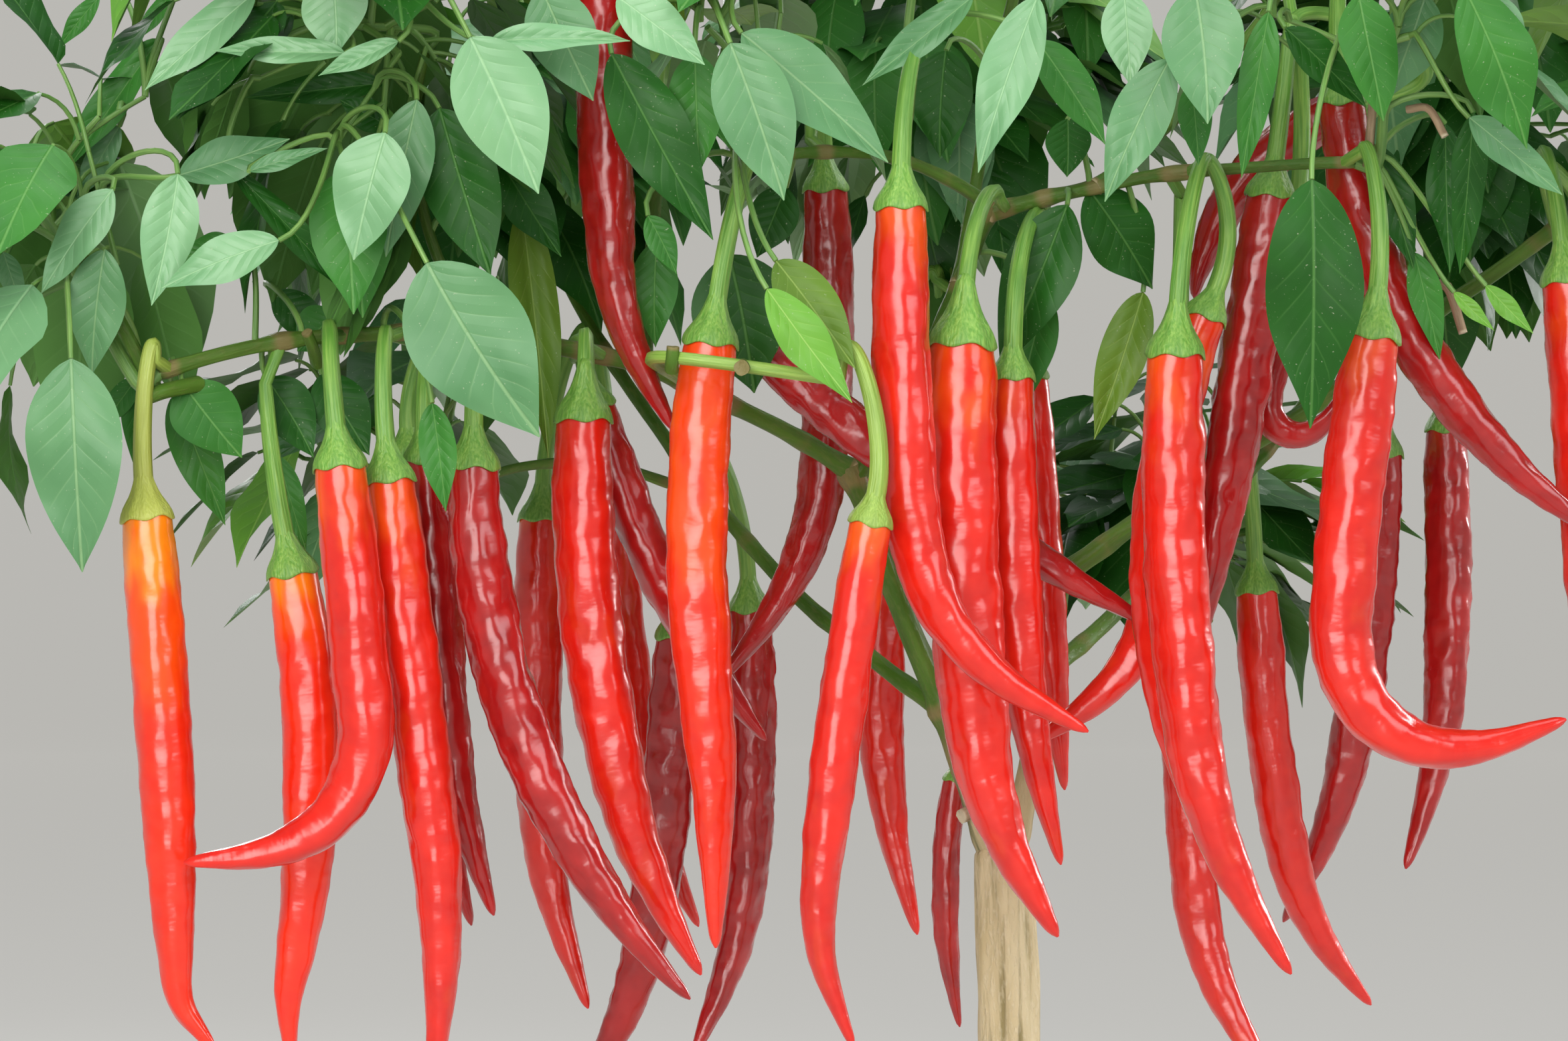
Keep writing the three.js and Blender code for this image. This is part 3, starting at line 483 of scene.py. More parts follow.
# The skin tree: paths become tubes with ribs, swellings, wrinkles or fissures of real depth.
# Depths are shares of the radius and sizes are in features a metre along and a turn around.
def makeSkinTree():
    tree, given, result = geometryTree("skinOnPaths", {
        "Sides": 12, "Ribs": 0.0, "Rib Depth": 0.0, "Rib Twist": 0.0, "Swell Depth": 0.0, "Swell Around": 0.6,
        "Swell Along": 40.0, "Wrinkle Depth": 0.0, "Wrinkle Around": 1.2, "Wrinkle Along": 160.0,
        "Fissures": 0.0, "Seed": 1.0})
    along, thick = named(tree, "along"), named(tree, "thick")
    ring = addNode(tree, "GeometryNodeCurvePrimitiveCircle", {"Resolution": given["Sides"], "Radius": 1.0})
    position = tree.nodes.new("GeometryNodeInputPosition").outputs[0]
    ringPoints = storeVector(tree, ring.outputs["Curve"], "around", position)
    curve = addNode(tree, "GeometryNodeMeshToCurve", {0: given["Geometry"]}).outputs[0]
    curve = addNode(tree, "GeometryNodeSetCurveRadius", {"Curve": curve, "Radius": thick}).outputs[0]
    tube = addNode(tree, "GeometryNodeCurveToMesh", {
        "Curve": curve, "Profile Curve": ringPoints, "Scale": thick, "Fill Caps": True}).outputs[0]
    turn = addNode(tree, "ShaderNodeSeparateXYZ", {0: named(tree, "around", "FLOAT_VECTOR")}).outputs

    # Noise between -1 and 1 over the tube's surface
    def pattern(aroundScale, alongScale, seed):
        around = [times(turn[k], aroundScale) for k in range(2)]
        place = vectorOf(tree, *around, times(along, alongScale))
        texture = addNode(tree, "ShaderNodeTexNoise", {
            "Vector": place, "W": plus(given["Seed"], seed), "Scale": 1.0, "Detail": 2.0, "Roughness": 0.38},
            noise_dimensions="4D")
        return scaledPlus(texture.outputs["Fac"], 2.0, -1.0)

    angle = times(maths("ARCTAN2", turn[1], turn[0]), given["Ribs"])
    rib = times(maths("COSINE", plus(angle, times(along, given["Rib Twist"]))), given["Rib Depth"])
    swell = times(pattern(given["Swell Around"], given["Swell Along"], 0.0), given["Swell Depth"])
    fold = pattern(given["Wrinkle Around"], given["Wrinkle Along"], 5.0)
    groove = maths("MINIMUM", scaledPlus(maths("ABSOLUTE", fold), 5.0, -1.0), 0.6)
    fold = addNode(tree, "ShaderNodeMix", {"Factor": given["Fissures"], "A": fold, "B": groove}).outputs[0]
    lively = times(minus(1.0, named(tree, "calm")), thick)
    depth = times(plus(plus(rib, swell), times(fold, given["Wrinkle Depth"])), lively)
    normal = tree.nodes.new("GeometryNodeInputNormal").outputs[0]
    skin = vectorOf(tree, times(turn[0], thick), times(turn[1], thick), along)
    tube = storeVector(tree, tube, "skin", skin)
    tube = addNode(tree, "GeometryNodeSetPosition", {
        "Geometry": tube, "Offset": scaledBy(tree, normal, depth)}).outputs[0]
    endTree(tree, given, result, tube)
    return tree


# The spray tree: one of a few forms stands on each point, turned and sized by its attributes
def makeSprayTree():
    tree, given, result = geometryTree("formsOnPoints", {"Forms": "Collection", "Size": 1.0})
    forms = addNode(tree, "GeometryNodeCollectionInfo", {
        "Collection": given["Forms"], "Separate Children": True, "Reset Children": True}).outputs[0]
    points = addNode(tree, "GeometryNodeMeshToPoints", {"Mesh": given["Geometry"]}).outputs[0]
    turn = addNode(tree, "FunctionNodeEulerToRotation", {0: named(tree, "turn", "FLOAT_VECTOR")}).outputs[0]
    size = scaledBy(tree, named(tree, "size", "FLOAT_VECTOR"), given["Size"])
    spray = addNode(tree, "GeometryNodeInstanceOnPoints", {
        "Points": points, "Instance": forms, "Pick Instance": True,
        "Instance Index": named(tree, "form", "INT"), "Rotation": turn, "Scale": size}).outputs[0]
    endTree(tree, given, result, spray)
    return tree


# The result of a tree on a mesh, as a plain mesh of its own
def grownPiece(name, mesh, tree, values):
    seed = linked(name + "Paths", mesh)
    modifier = seed.modifiers.new("growth", "NODES")
    modifier.node_group = tree
    for item in tree.interface.items_tree:
        if item.item_type == "SOCKET" and item.in_out == "INPUT" and item.name in values:
            modifier[item.identifier] = values[item.name]
    evaluated = seed.evaluated_get(bpy.context.evaluated_depsgraph_get())
    plain = bpy.data.meshes.new_from_object(evaluated)
    plain.name = name
    seed.modifiers.remove(modifier)
    bpy.data.objects.remove(seed)
    plain.materials.clear()
    plain.materials.append(values["Material"])
    print(name, len(plain.vertices), "points,", len(plain.polygons), "faces")
    return linked(name, plain)


def pathPiece(name, paths, finish, skin):
    marks = {key: paths[key] for key in ("thick", "along", "calm", "tone")}
    mesh = newMesh(name + "Paths", paths["points"], paths["edges"], **marks)
    return grownPiece(name, mesh, skinTree, {**skin, "Material": finishes[finish]})


def sprayPiece(name, places, finish, forms):
    mesh = newMesh(
        name + "Places", [place["root"] * millimetre for place in places],
        turn=[place["turn"] for place in places], tone=[place.get("tone", 0) for place in places],
        size=[np.broadcast_to(place["size"], 3) for place in places],
        form=np.array([place["form"] for place in places], np.int32))
    return grownPiece(name, mesh, sprayTree, {"Forms": forms, "Size": 1.0, "Material": finishes[finish]})


def formCollection(name, meshes):
    shelf = bpy.data.collections.new(name)
    for i, mesh in enumerate(meshes):
        shelf.objects.link(bpy.data.objects.new(f"{name}{i}", mesh))
    return shelf


# Finishes

# A colour is three values or a link
def mixed(mask, low, high):
    low, high = [(*end, 1) if isinstance(end, tuple) else end for end in (low, high)]
    return addNode(mask.id_data, "ShaderNodeMix", {0: mask, 6: low, 7: high}, data_type="RGBA").outputs[2]


def ranged(value, low, high):
    return addNode(value.id_data, "ShaderNodeMapRange", {"Value": value, "From Min": low, "From Max": high},
                   interpolation_type="SMOOTHSTEP").outputs[0]


# Streaks: noise stretched along or around a tube, as a mask between two limits
def makeStreaks():
    tree, given, result = newTree("ShaderNodeTree", "streaks", {"Mask": "Float"}, {
        "Vector": "Vector", "Around": 300.0, "Along": 100.0, "Detail": 3.0, "Low": 0.4, "High": 0.6})
    stretch = vectorOf(tree, given["Around"], given["Around"], given["Along"])
    place = addNode(tree, "ShaderNodeVectorMath", {0: given["Vector"], 1: stretch}, operation="MULTIPLY")
    texture = addNode(tree, "ShaderNodeTexNoise", {
        "Vector": place.outputs[0], "Scale": 1.0, "Detail": given["Detail"]})
    mask = addNode(tree, "ShaderNodeMapRange", {
        "Value": texture.outputs["Fac"], "From Min": given["Low"], "From Max": given["High"]}).outputs[0]
    tree.links.new(mask, result[0])
    return tree


# Veins: a midrib, side veins that sweep towards the tip, and the quilting between them
veinForm = {
    "pairs": 8.0, "midrib": (0.003, 0.012), "sweep": 1.7, "sweepCurve": 0.8, "side": (0.0, 0.075),
    "fade": (0.55, 0.98), "sideShare": 0.36,
}


def makeVeins():
    tree, given, result = newTree("ShaderNodeTree", "veins", {"Vein": "Float", "Height": "Float"}, {
        "Blade": "Vector", "Pairs": veinForm["pairs"]})
    blade = addNode(tree, "ShaderNodeSeparateXYZ", {0: given["Blade"]}).outputs
    across = maths("ABSOLUTE", blade[0])
    midrib = minus(1.0, ranged(maths("ABSOLUTE", blade[2]), *veinForm["midrib"]))
    swept = times(maths("POWER", across, veinForm["sweepCurve"]), veinForm["sweep"])
    wave = maths("PINGPONG", minus(times(blade[1], given["Pairs"]), swept), 0.5)
    fade = minus(1.0, ranged(across, *veinForm["fade"]))
    side = times(times(minus(1.0, ranged(wave, *veinForm["side"])), fade), veinForm["sideShare"])
    tree.links.new(maths("MAXIMUM", midrib, side), result["Vein"])
    tree.links.new(minus(times(maths("SQRT", wave), fade), midrib), result["Height"])
    return tree


def attribute(shader, name, output):
    made = addNode(shader.id_data, "ShaderNodeAttribute", attribute_name=name, attribute_type="GEOMETRY")
    return made.outputs[output]


def streakMask(vector, *settings):
    values = dict(zip(("Around", "Along", "Detail", "Low", "High"), settings))
    made = addNode(vector.id_data, "ShaderNodeGroup", {"Vector": vector, **values}, node_tree=streaks)
    return made.outputs[0]


def endShader(shader, colour, roughness, height, strength, distance):
    tree = shader.id_data
    made = addNode(tree, "ShaderNodeBump", {
        "Height": height, "Strength": strength, "Distance": distance * millimetre})
    tree.links.new(colour, shader.inputs["Base Color"])
    tree.links.new(roughness, shader.inputs["Roughness"])
    tree.links.new(made.outputs[0], shader.inputs["Normal"])


# What all finishes of a kind share: for each mask how fine it is around and along, its detail and its
# limits, and how much each one tells in the colour, the roughness and the height
barkLook = {
    "fissure": (300, 24, 5, 0.5, 0.66), "patch": (130, 28, 3, 0.36, 0.66), "cork": (900, 300, 5, 0.5, 0.66),
    "sheen": 0.22, "patchScar": 0.35, "scarLimits": (0.5, 1.15), "woodLimits": (1.2, 1.9), "woodCrack": 0.8,
    "crackRough": 0.15, "corkHeight": 0.4, "bump": 0.6,
}
fruitLook = {
    "cloud": (90, 45, 2, 0.3, 0.7), "band": (130, 190, 2, 0.3, 0.7), "fine": (110, 260, 2, 0.25, 0.8),
    "banded": 0.3, "cloudBlotch": (0.5, -0.25), "orangeLimits": (0.12, 0.6), "yellowLimits": (0.62, 1.0),
    "rough": (0.1, 0.17), "bump": (0.3, 0.5),
}
greenLook = {
    "streak": (1500, 60, 3, 0.35, 0.65), "patch": (260, 60, 2, 0.35, 0.7), "patched": 0.55,
    "rough": (0.15, 0.36), "bump": (0.4, 0.4),
}
leafLook = {
    "cloud": (38, 38, 3, 0.3, 0.7), "fleck": (1300, 1300, 1, 0.72, 0.78), "flecked": 0.5,
    "fleckColour": (0.4, 0.45, 0.3), "veined": 0.55, "cloudRough": 0.12, "bump": (0.35, 0.8),
}

# Colours are linear. The bark also has the strength of its cracks and cork, its roughness and its relief.
barkColours = labelled("name body pale crack cork scar wood streaked corky rough relief", [
    ("trunkBark", (0.47, 0.375, 0.205), (0.60, 0.50, 0.31), (0.20, 0.16, 0.06), (0.66, 0.57, 0.39),
     (0.45, 0.38, 0.24), (0.45, 0.38, 0.24), 0.8, 0.35, 0.72, 0.9),
    ("limbBark", (0.050, 0.126, 0.012), (0.100, 0.200, 0.026), (0.060, 0.082, 0.018), (0.20, 0.20, 0.07),
     (0.20, 0.17, 0.06), (0.44, 0.36, 0.20), 0.4, 0.18, 0.42, 0.4),
    ("dryBark", (0.30, 0.19, 0.11), (0.46, 0.34, 0.22), (0.10, 0.06, 0.035), (0.5, 0.38, 0.26),
     (0.55, 0.47, 0.33), (0.55, 0.47, 0.33), 0.7, 0.3, 0.8, 0.4),
])
fruitColours = labelled("name body deep band orange yellow", [
    ("ripeSkin", (0.74, 0.014, 0.005), (0.54, 0.007, 0.004), (0.82, 0.027, 0.007), (0.86, 0.085, 0.006),
     (0.92, 0.26, 0.008)),
    ("darkSkin", (0.43, 0.007, 0.007), (0.23, 0.004, 0.005), (0.54, 0.015, 0.010), (0.55, 0.02, 0.008),
     (0.7, 0.06, 0.01)),
    ("orangeSkin", (0.84, 0.022, 0.003), (0.70, 0.012, 0.003), (0.90, 0.045, 0.004), (0.90, 0.070, 0.003),
     (0.94, 0.24, 0.005)),
])
greenColours = labelled("name body pale dark yellow", [
    ("stalkGreen", (0.13, 0.33, 0.04), (0.27, 0.48, 0.09), (0.06, 0.20, 0.03), (0.62, 0.55, 0.10)),
    ("twigGreen", (0.12, 0.28, 0.05), (0.23, 0.40, 0.10), (0.07, 0.18, 0.04), (0.5, 0.5, 0.12)),
])
leafColours = labelled("name body deep vein under rough sheen", [
    # The deep tint is a darker green: partly real darker leaves, partly painted shade for leaves in shadow
    ("leafDeep", (0.016, 0.105, 0.009), (0.01, 0.068, 0.006), (0.09, 0.24, 0.05), (0.06, 0.17, 0.03),
     0.4, 0.22),
    ("leafMiddle", (0.044, 0.205, 0.026), (0.028, 0.145, 0.02), (0.15, 0.35, 0.09), (0.09, 0.24, 0.045),
     0.4, 0.24),
    # The blue and pale tints are lighter, bluish greens that paint the sky's sheen on lit leaves, on top of
    # their real gloss
    ("leafBlue", (0.118, 0.29, 0.118), (0.08, 0.225, 0.086), (0.27, 0.46, 0.21), (0.13, 0.28, 0.09),
     0.36, 0.4),
    ("leafPale", (0.19, 0.4, 0.185), (0.14, 0.33, 0.145), (0.34, 0.58, 0.3), (0.17, 0.34, 0.12),
     0.34, 0.5),
    ("leafOlive", (0.12, 0.225, 0.022), (0.08, 0.165, 0.016), (0.29, 0.42, 0.1), (0.14, 0.26, 0.035),
     0.42, 0.25),
    ("leafYoung", (0.16, 0.4, 0.04), (0.112, 0.31, 0.032), (0.36, 0.58, 0.14), (0.21, 0.42, 0.07),
     0.38, 0.35),
])


def barkFinish(bark):
    look = barkLook
    material, shader = newMaterial(bark["name"], Specular_IOR_Level=look["sheen"])
    skin = attribute(shader, "skin", "Vector")
    fissure, patch, cork = [streakMask(skin, *look[mask]) for mask in ("fissure", "patch", "cork")]
    colour = mixed(patch, bark["body"], bark["pale"])
    colour = mixed(times(fissure, bark["streaked"]), colour, bark["crack"])
    colour = mixed(times(cork, bark["corky"]), colour, bark["cork"])
    scar = scaledPlus(patch, look["patchScar"], attribute(shader, "tone", "Fac"))
    colour = mixed(ranged(scar, *look["scarLimits"]), colour, bark["scar"])
    wood = mixed(times(fissure, look["woodCrack"]), bark["wood"], bark["crack"])
    colour = mixed(ranged(scar, *look["woodLimits"]), colour, wood)
    height = minus(times(cork, look["corkHeight"]), fissure)
    rough = scaledPlus(fissure, look["crackRough"], bark["rough"])
    endShader(shader, colour, rough, height, look["bump"], bark["relief"])
    return material


def fruitFinish(flesh):
    look = fruitLook
    material, shader = newMaterial(
        flesh["name"], Coat_Weight=0.3, Coat_Roughness=0.22, Specular_IOR_Level=0.6,
        Subsurface_Weight=0.06, Subsurface_Radius=(0.004, 0.0008, 0.0004))
    skin = attribute(shader, "skin", "Vector")
    cloud, band, fine = [streakMask(skin, *look[mask]) for mask in ("cloud", "band", "fine")]
    colour = mixed(cloud, flesh["body"], flesh["deep"])
    colour = mixed(times(band, look["banded"]), colour, flesh["band"])
    # An unripe shoulder goes from yellow through orange, in blotches
    blotch = plus(attribute(shader, "tone", "Fac"), scaledPlus(cloud, *look["cloudBlotch"]))
    colour = mixed(ranged(blotch, *look["orangeLimits"]), colour, flesh["orange"])
    colour = mixed(ranged(blotch, *look["yellowLimits"]), colour, flesh["yellow"])
    endShader(shader, colour, scaledPlus(band, *look["rough"]), fine, *look["bump"])
    return material


def greenFinish(green):
    look = greenLook
    material, shader = newMaterial(green["name"])
    skin = attribute(shader, "skin", "Vector")
    streak, patch = [streakMask(skin, *look[mask]) for mask in ("streak", "patch")]
    colour = mixed(streak, green["body"], green["pale"])
    colour = mixed(times(patch, look["patched"]), colour, green["dark"])
    colour = mixed(attribute(shader, "tone", "Fac"), colour, green["yellow"])
    endShader(shader, colour, scaledPlus(patch, *look["rough"]), streak, *look["bump"])
    return material


def leafFinish(leaf):
    look = leafLook
    material, shader = newMaterial(leaf["name"], Specular_IOR_Level=leaf["sheen"])
    tree = shader.id_data
    blade = attribute(shader, "blade", "Vector")
    vein = addNode(tree, "ShaderNodeGroup", {"Blade": blade}, node_tree=veins).outputs
    place = tree.nodes.new("ShaderNodeTexCoord").outputs["Object"]
    cloud, fleck = [streakMask(place, *look[mask]) for mask in ("cloud", "fleck")]
    colour = mixed(cloud, leaf["body"], leaf["deep"])
    colour = mixed(times(fleck, look["flecked"]), colour, look["fleckColour"])
    facing = tree.nodes.new("ShaderNodeNewGeometry").outputs["Backfacing"]
    colour = mixed(facing, colour, leaf["under"])
    colour = mixed(times(vein["Vein"], look["veined"]), colour, leaf["vein"])
    rough = scaledPlus(cloud, look["cloudRough"], leaf["rough"])
    endShader(shader, colour, rough, vein["Height"], *look["bump"])
    return material


streaks = makeStreaks()
veins = makeVeins()
finishes = {}
for makeFinish, rows in ((barkFinish, barkColours), (fruitFinish, fruitColours), (greenFinish, greenColours),
                         (leafFinish, leafColours)):
    for row in rows:
        finishes[row["name"]] = makeFinish(row)
skinTree = makeSkinTree()
sprayTree = makeSprayTree()
print("finishes and trees made")


# Trunk and limbs

limbShape = {
    "collar": 0.45, "collarLength": 5, "forkSwell": 0.22, "knotSwell": 0.12, "knotLength": 4, "knotGap": 43,
    "firstKnot": 18, "lastKnot": 8, "wander": 2.4, "wanderGrain": 0.022, "woodTone": 2.0, "green": 0.1,
    "wanderApart": 7.3, "axesApart": 3.1, "woodFade": (0.4, 1.7),
    "woody": {"limb-left": 46, "limb-right": 48, "limb-back": 46},
}
trunkSkin = {
    "Sides": 60, "Ribs": 5.0, "Rib Depth": 0.05, "Rib Twist": 9.0, "Swell Depth": 0.10, "Swell Around": 1.3,
    "Swell Along": 22.0, "Wrinkle Depth": 0.06, "Wrinkle Around": 2.7, "Wrinkle Along": 15.0, "Fissures": 1.0,
    "Seed": 3.0,
}
limbSkin = {
    "Sides": 20, "Ribs": 4.0, "Rib Depth": 0.05, "Rib Twist": 12.0, "Swell Depth": 0.10, "Swell Around": 1.0,
    "Swell Along": 70.0, "Wrinkle Depth": 0.04, "Wrinkle Around": 3.0, "Wrinkle Along": 60.0, "Fissures": 0.6,
    "Seed": 8.0,
}
footFlat = 5            # over this height the fissures set in, so that the cut foot stays flat
trimmingStep = 1.5
cutEnd, cutTone = 0.96, 1.2     # the end of a trimmed shoot is bare wood

# Shoots that were cut back and stalks that have dried, read off the photograph as the near leaves are
trimmings = labelled("finish corners radius", [
    ("limbBark", [(236, 590, 90), (178, 480, 96), (116, 374, 100)], (2.3, 1.8)),
    ("limbBark", [(300, 578, 84), (250, 588, 94), (222, 598, 97)], (2.5, 2.2)),
    ("limbBark", [(1012, 556, 118), (1013, 540, 122), (1014, 522, 123)], (2.2, 1.9)),
    ("limbBark", [(1118, 552, 120), (1118, 553, 124), (1117, 554, 128)], (2.4, 2.3)),
    ("limbBark", [(478, 548, 74), (470, 520, 84), (462, 500, 88)], (2.0, 1.6)),
    ("dryBark", [(1462, 1222, 4), (1454, 1227, 6), (1447, 1230, 7)], (2.5, 2.3)),
    ("dryBark", [(2060, 250, 70), (2066, 180, 76), (2071, 118, 78)], (1.6, 1.3)),
    ("dryBark", [(2120, 165, 74), (2152, 164, 78), (2177, 206, 80)], (1.3, 1.2)),
    ("dryBark", [(2148, 436, 30), (2180, 432, 34), (2204, 502, 36)], (1.7, 1.4)),
])


def trunkLine():
    heights = np.arange(0, plant["forkHeight"] + plant["crownOfFork"] + 1, 2.0)
    lean = (heights / plant["forkHeight"]) ** plant["leanCurve"]
    points = np.stack([plant["trunkLean"][0] * lean, plant["trunkLean"][1] * lean, heights], axis=1)
    radii = blend(*plant["trunkRadius"], np.minimum(heights / plant["forkHeight"], 1))
    radii = radii + plant["flareExtra"] * np.exp(-heights / plant["flareHeight"])
    past = np.clip((heights - plant["forkHeight"]) / plant["crownOfFork"], 0, 0.98)
    return points, radii * np.sqrt(1 - past ** 2)


# Knots swell a limb where its own shoots leave it and, smaller, at even steps between
def limbRadii(limb, along):
    radii = blend(*limb["radius"], along / along[-1])
    radii = radii * (1 + limbShape["collar"] * np.exp(-along / limbShape["collarLength"]))
    children = [child["at"] for child in [*limbs, *fruitSpurs, *backSpurs] if child["on"] == limb["name"]]
    knots = [(at * along[-1], limbShape["forkSwell"]) for at in children]
    between = np.arange(limbShape["firstKnot"], along[-1] - limbShape["lastKnot"], limbShape["knotGap"])
    knots += [(at, limbShape["knotSwell"]) for at in between]
    woody = limbShape["woody"].get(limb["name"], limbShape["green"])
    wood = 1 - smooth(limbShape["woodFade"][0] * woody, limbShape["woodFade"][1] * woody, along)
    scar = np.zeros(len(along))
    for at, swell in knots:
        near = np.exp(-((along - at) / limbShape["knotLength"]) ** 2)
        radii = radii * (1 + swell * near)
        scar = np.maximum(scar, near * swell / limbShape["forkSwell"])
    return radii, np.maximum(scar, limbShape["woodTone"] * wood)


# A limb's middle bows aside, and a slow noise lets it wander
def limbLine(limb):
    start = placeOn(limbLines[limb["on"]], limb["at"])[0]
    end = np.array(limb["to"], float)
    middle = (start + end) / 2 + 2 * np.array(limb["bow"], float)
    points = evenly(bezier([start, middle, end], 60), plant["step"])
    along = lengthsAlong(points)
    fade = np.sin(math.pi * along / along[-1])
    apart = limbShape["wanderApart"] * len(limbLines)
    for k in range(3):
        axis = limbShape["axesApart"] * k
        drift = np.array([noise.noise((at * limbShape["wanderGrain"], apart, axis)) for at in along])
        points[:, k] += limbShape["wander"] * fade * drift
    return points


trunkPoints, trunkRadii = trunkLine()
limbLines = {"trunk": trunkPoints[trunkPoints[:, 2] <= plant["forkHeight"]]}
limbEnds = {}
barkPaths = {name: newPaths() for name in ("trunkBark", "limbBark", "dryBark")}
addPath(barkPaths["trunkBark"], trunkPoints, trunkRadii, calm=1 - smooth(0, footFlat, trunkPoints[:, 2]))
for limb in limbs:
    points = limbLine(limb)
    radii, scar = limbRadii(limb, lengthsAlong(points))
    limbLines[limb["name"]] = points
    limbEnds[limb["name"]] = radii[-1]
    addPath(barkPaths["limbBark"], points, radii, tone=scar)
for row in trimmings:
    shoot = roundedLine([seenAt(*corner) for corner in row["corners"]], trimmingStep)
    cut = np.linspace(0, 1, len(shoot)) > cutEnd
    addPath(barkPaths[row["finish"]], shoot, tapered(row["radius"], len(shoot)), tone=cutTone * cut)
trunk = pathPiece("trunkBark", barkPaths["trunkBark"], "trunkBark", trunkSkin)
boughs = pathPiece("boughs", barkPaths["limbBark"], "limbBark", limbSkin)
dryStalks = pathPiece("dryStalks", barkPaths["dryBark"], "dryBark", {**limbSkin, "Sides": 12})


# Fruits

fruitSkin = {
    "Sides": 32, "Ribs": 3.0, "Rib Depth": 0.03, "Rib Twist": 14.0, "Swell Depth": 0.15, "Swell Around": 0.8,
    "Swell Along": 55.0, "Wrinkle Depth": 0.10, "Wrinkle Around": 1.9, "Wrinkle Along": 150.0, "Seed": 2.0,
}
# The piece, the slot and the own skin of each colour of fruit
fruitKinds = {
    "ripeSkin": ("ripeFruits", "fruit", {}),
    "darkSkin": ("darkFruits", "fruit", {
        "Rib Depth": 0.05, "Rib Twist": 10.0, "Swell Depth": 0.18, "Swell Around": 1.0, "Swell Along": 60.0,
        "Wrinkle Depth": 0.14, "Wrinkle Around": 2.0, "Wrinkle Along": 170.0, "Seed": 11.0}),
    "orangeSkin": ("ripeningFruits", "ripening_fruit", {
        "Rib Depth": 0.025, "Rib Twist": 8.0, "Swell Depth": 0.13, "Swell Along": 50.0, "Wrinkle Depth": 0.09,
        "Wrinkle Around": 1.8, "Seed": 6.0}),
}
orangeFruits = ["fruit-left-end", "fruit-left-hanging", "fruit-middle"]
darkFruits = ["fruit-left-dark", "fruit-middle-behind", "fruit-high", "fruit-maroon", "fruit-lying",
              "fruit-upper-right-group", "fruit-upper-right-arched", "fruit-shrivelled", "fruit-left-pair",
              "fruit-back-left-inner", "fruit-back-right-outer"]
unripeShoulders = {     # how unripe the shoulder is, and the share of the fruit where that ends
    "fruit-left-end": (1.1, 0.42), "fruit-left-hanging": (0.8, 0.2), "fruit-middle": (0.6, 0.6),
    "fruit-left-curled": (0.45, 0.3), "fruit-center-front": (0.6, 0.2), "fruit-center-broad": (0.4, 0.3),
    "fruit-right-pair": (0.4, 0.25), "fruit-right-hooked": (0.35, 0.2), "fruit-left-grooved": (0.35, 0.3),
    "fruit-center-bent": (0.3, 0.15),
}
ripeShoulder = (0.22, 0.12)
yellowStalks = {"fruit-left-end": 0.55, "fruit-center-front": 0.2}
stalkSkin = {"Sides": 15, "Ribs": 5.0, "Rib Depth": 0.09, "Rib Twist": 20.0, "Swell Depth": 0.06, "Seed": 4.0}
fruitForm = {
    "step": 1.35,
    "calm": 9,              # how far below the calyx the wrinkles set in
    "stalkIntoCup": 0.5,    # how far down the calyx the stalk's end is hidden
    "tuck": (4.2, 3.2, 1.8), "tuckRadii": (0.2, 0.55, 0.82),    # the top, inside the calyx
    "nibFrom": 0.975, "nibLength": 0.025, "nibClosed": 0.97, "ripening": 0.8,
    "stalkRise": 1.8, "leastRise": 5, "riseShare": 0.6, "pullShare": 1.35, "stalkPoints": 28,
    "markEvery": 3, "stalkMark": 3.0,       # points that leaves keep clear of
}
backFruit = {
    "length": 172, "shorter": 14, "width": 17, "drop": 62, "higher": 9, "apart": 12, "deeper": 4,
    "splay": 3, "bearing": 25, "arch": 8, "spurRise": 6, "spurShare": 0.5, "topShare": 0.4,
}


def skinOf(spurName):
    if spurName in darkFruits:
        return "darkSkin"
    return "orangeSkin" if spurName in orangeFruits else "ripeSkin"


def fleshRadius(width, share):
    shoulder = blend(plant["fleshTop"], 1, np.minimum(share / plant["shoulderEnd"], 1))
    taper = np.maximum((share - plant["bodyEnd"]) / (1 - plant["bodyEnd"]), 0)
    return width / 2 * shoulder * (1 - plant["tailLoss"] * taper ** plant["tailCurve"])


# The middle line of a fruit, its stalk from the end of the spur, and the way in which the fruit sets off
def fruitCourse(fruit, spurEnd):
    bearing = math.radians(fruit.get("bearing", 0))
    count = round(fruit["length"] / fruitForm["step"])
    share = np.concatenate([[0], (np.arange(count) + 0.5) / count])
    tail = fruit["tail"] * smooth(fruit["tailFrom"], plant["tailEnd"], share)
    angle = np.radians(fruit["lean"] + fruit["bend"] * share + tail)
    aside = np.sin(angle)
    heading = np.stack([aside * math.cos(bearing), aside * math.sin(bearing), -np.cos(angle)], axis=1)
    top = np.array(fruit["top"], float)
    flesh = np.concatenate([[top], top + np.cumsum(heading[1:] * fruit["length"] / count, axis=0)])
    start = heading[0]
    neck = top - start * plant["calyxLength"]
    over = spurEnd + np.array([0, 0, fruitForm["stalkRise"] * fruit["arch"] + fruitForm["leastRise"]])
    rise = blend(over, neck, fruitForm["riseShare"] * plant["stalkPull"][0])
    pull = neck - start * fruitForm["pullShare"] * plant["stalkPull"][1] * np.linalg.norm(neck - spurEnd)
    inCup = neck + start * fruitForm["stalkIntoCup"] * plant["calyxLength"]
    stalk = bezier([spurEnd, rise, pull, neck], fruitForm["stalkPoints"])
    return flesh, np.concatenate([stalk, [inCup]]), start


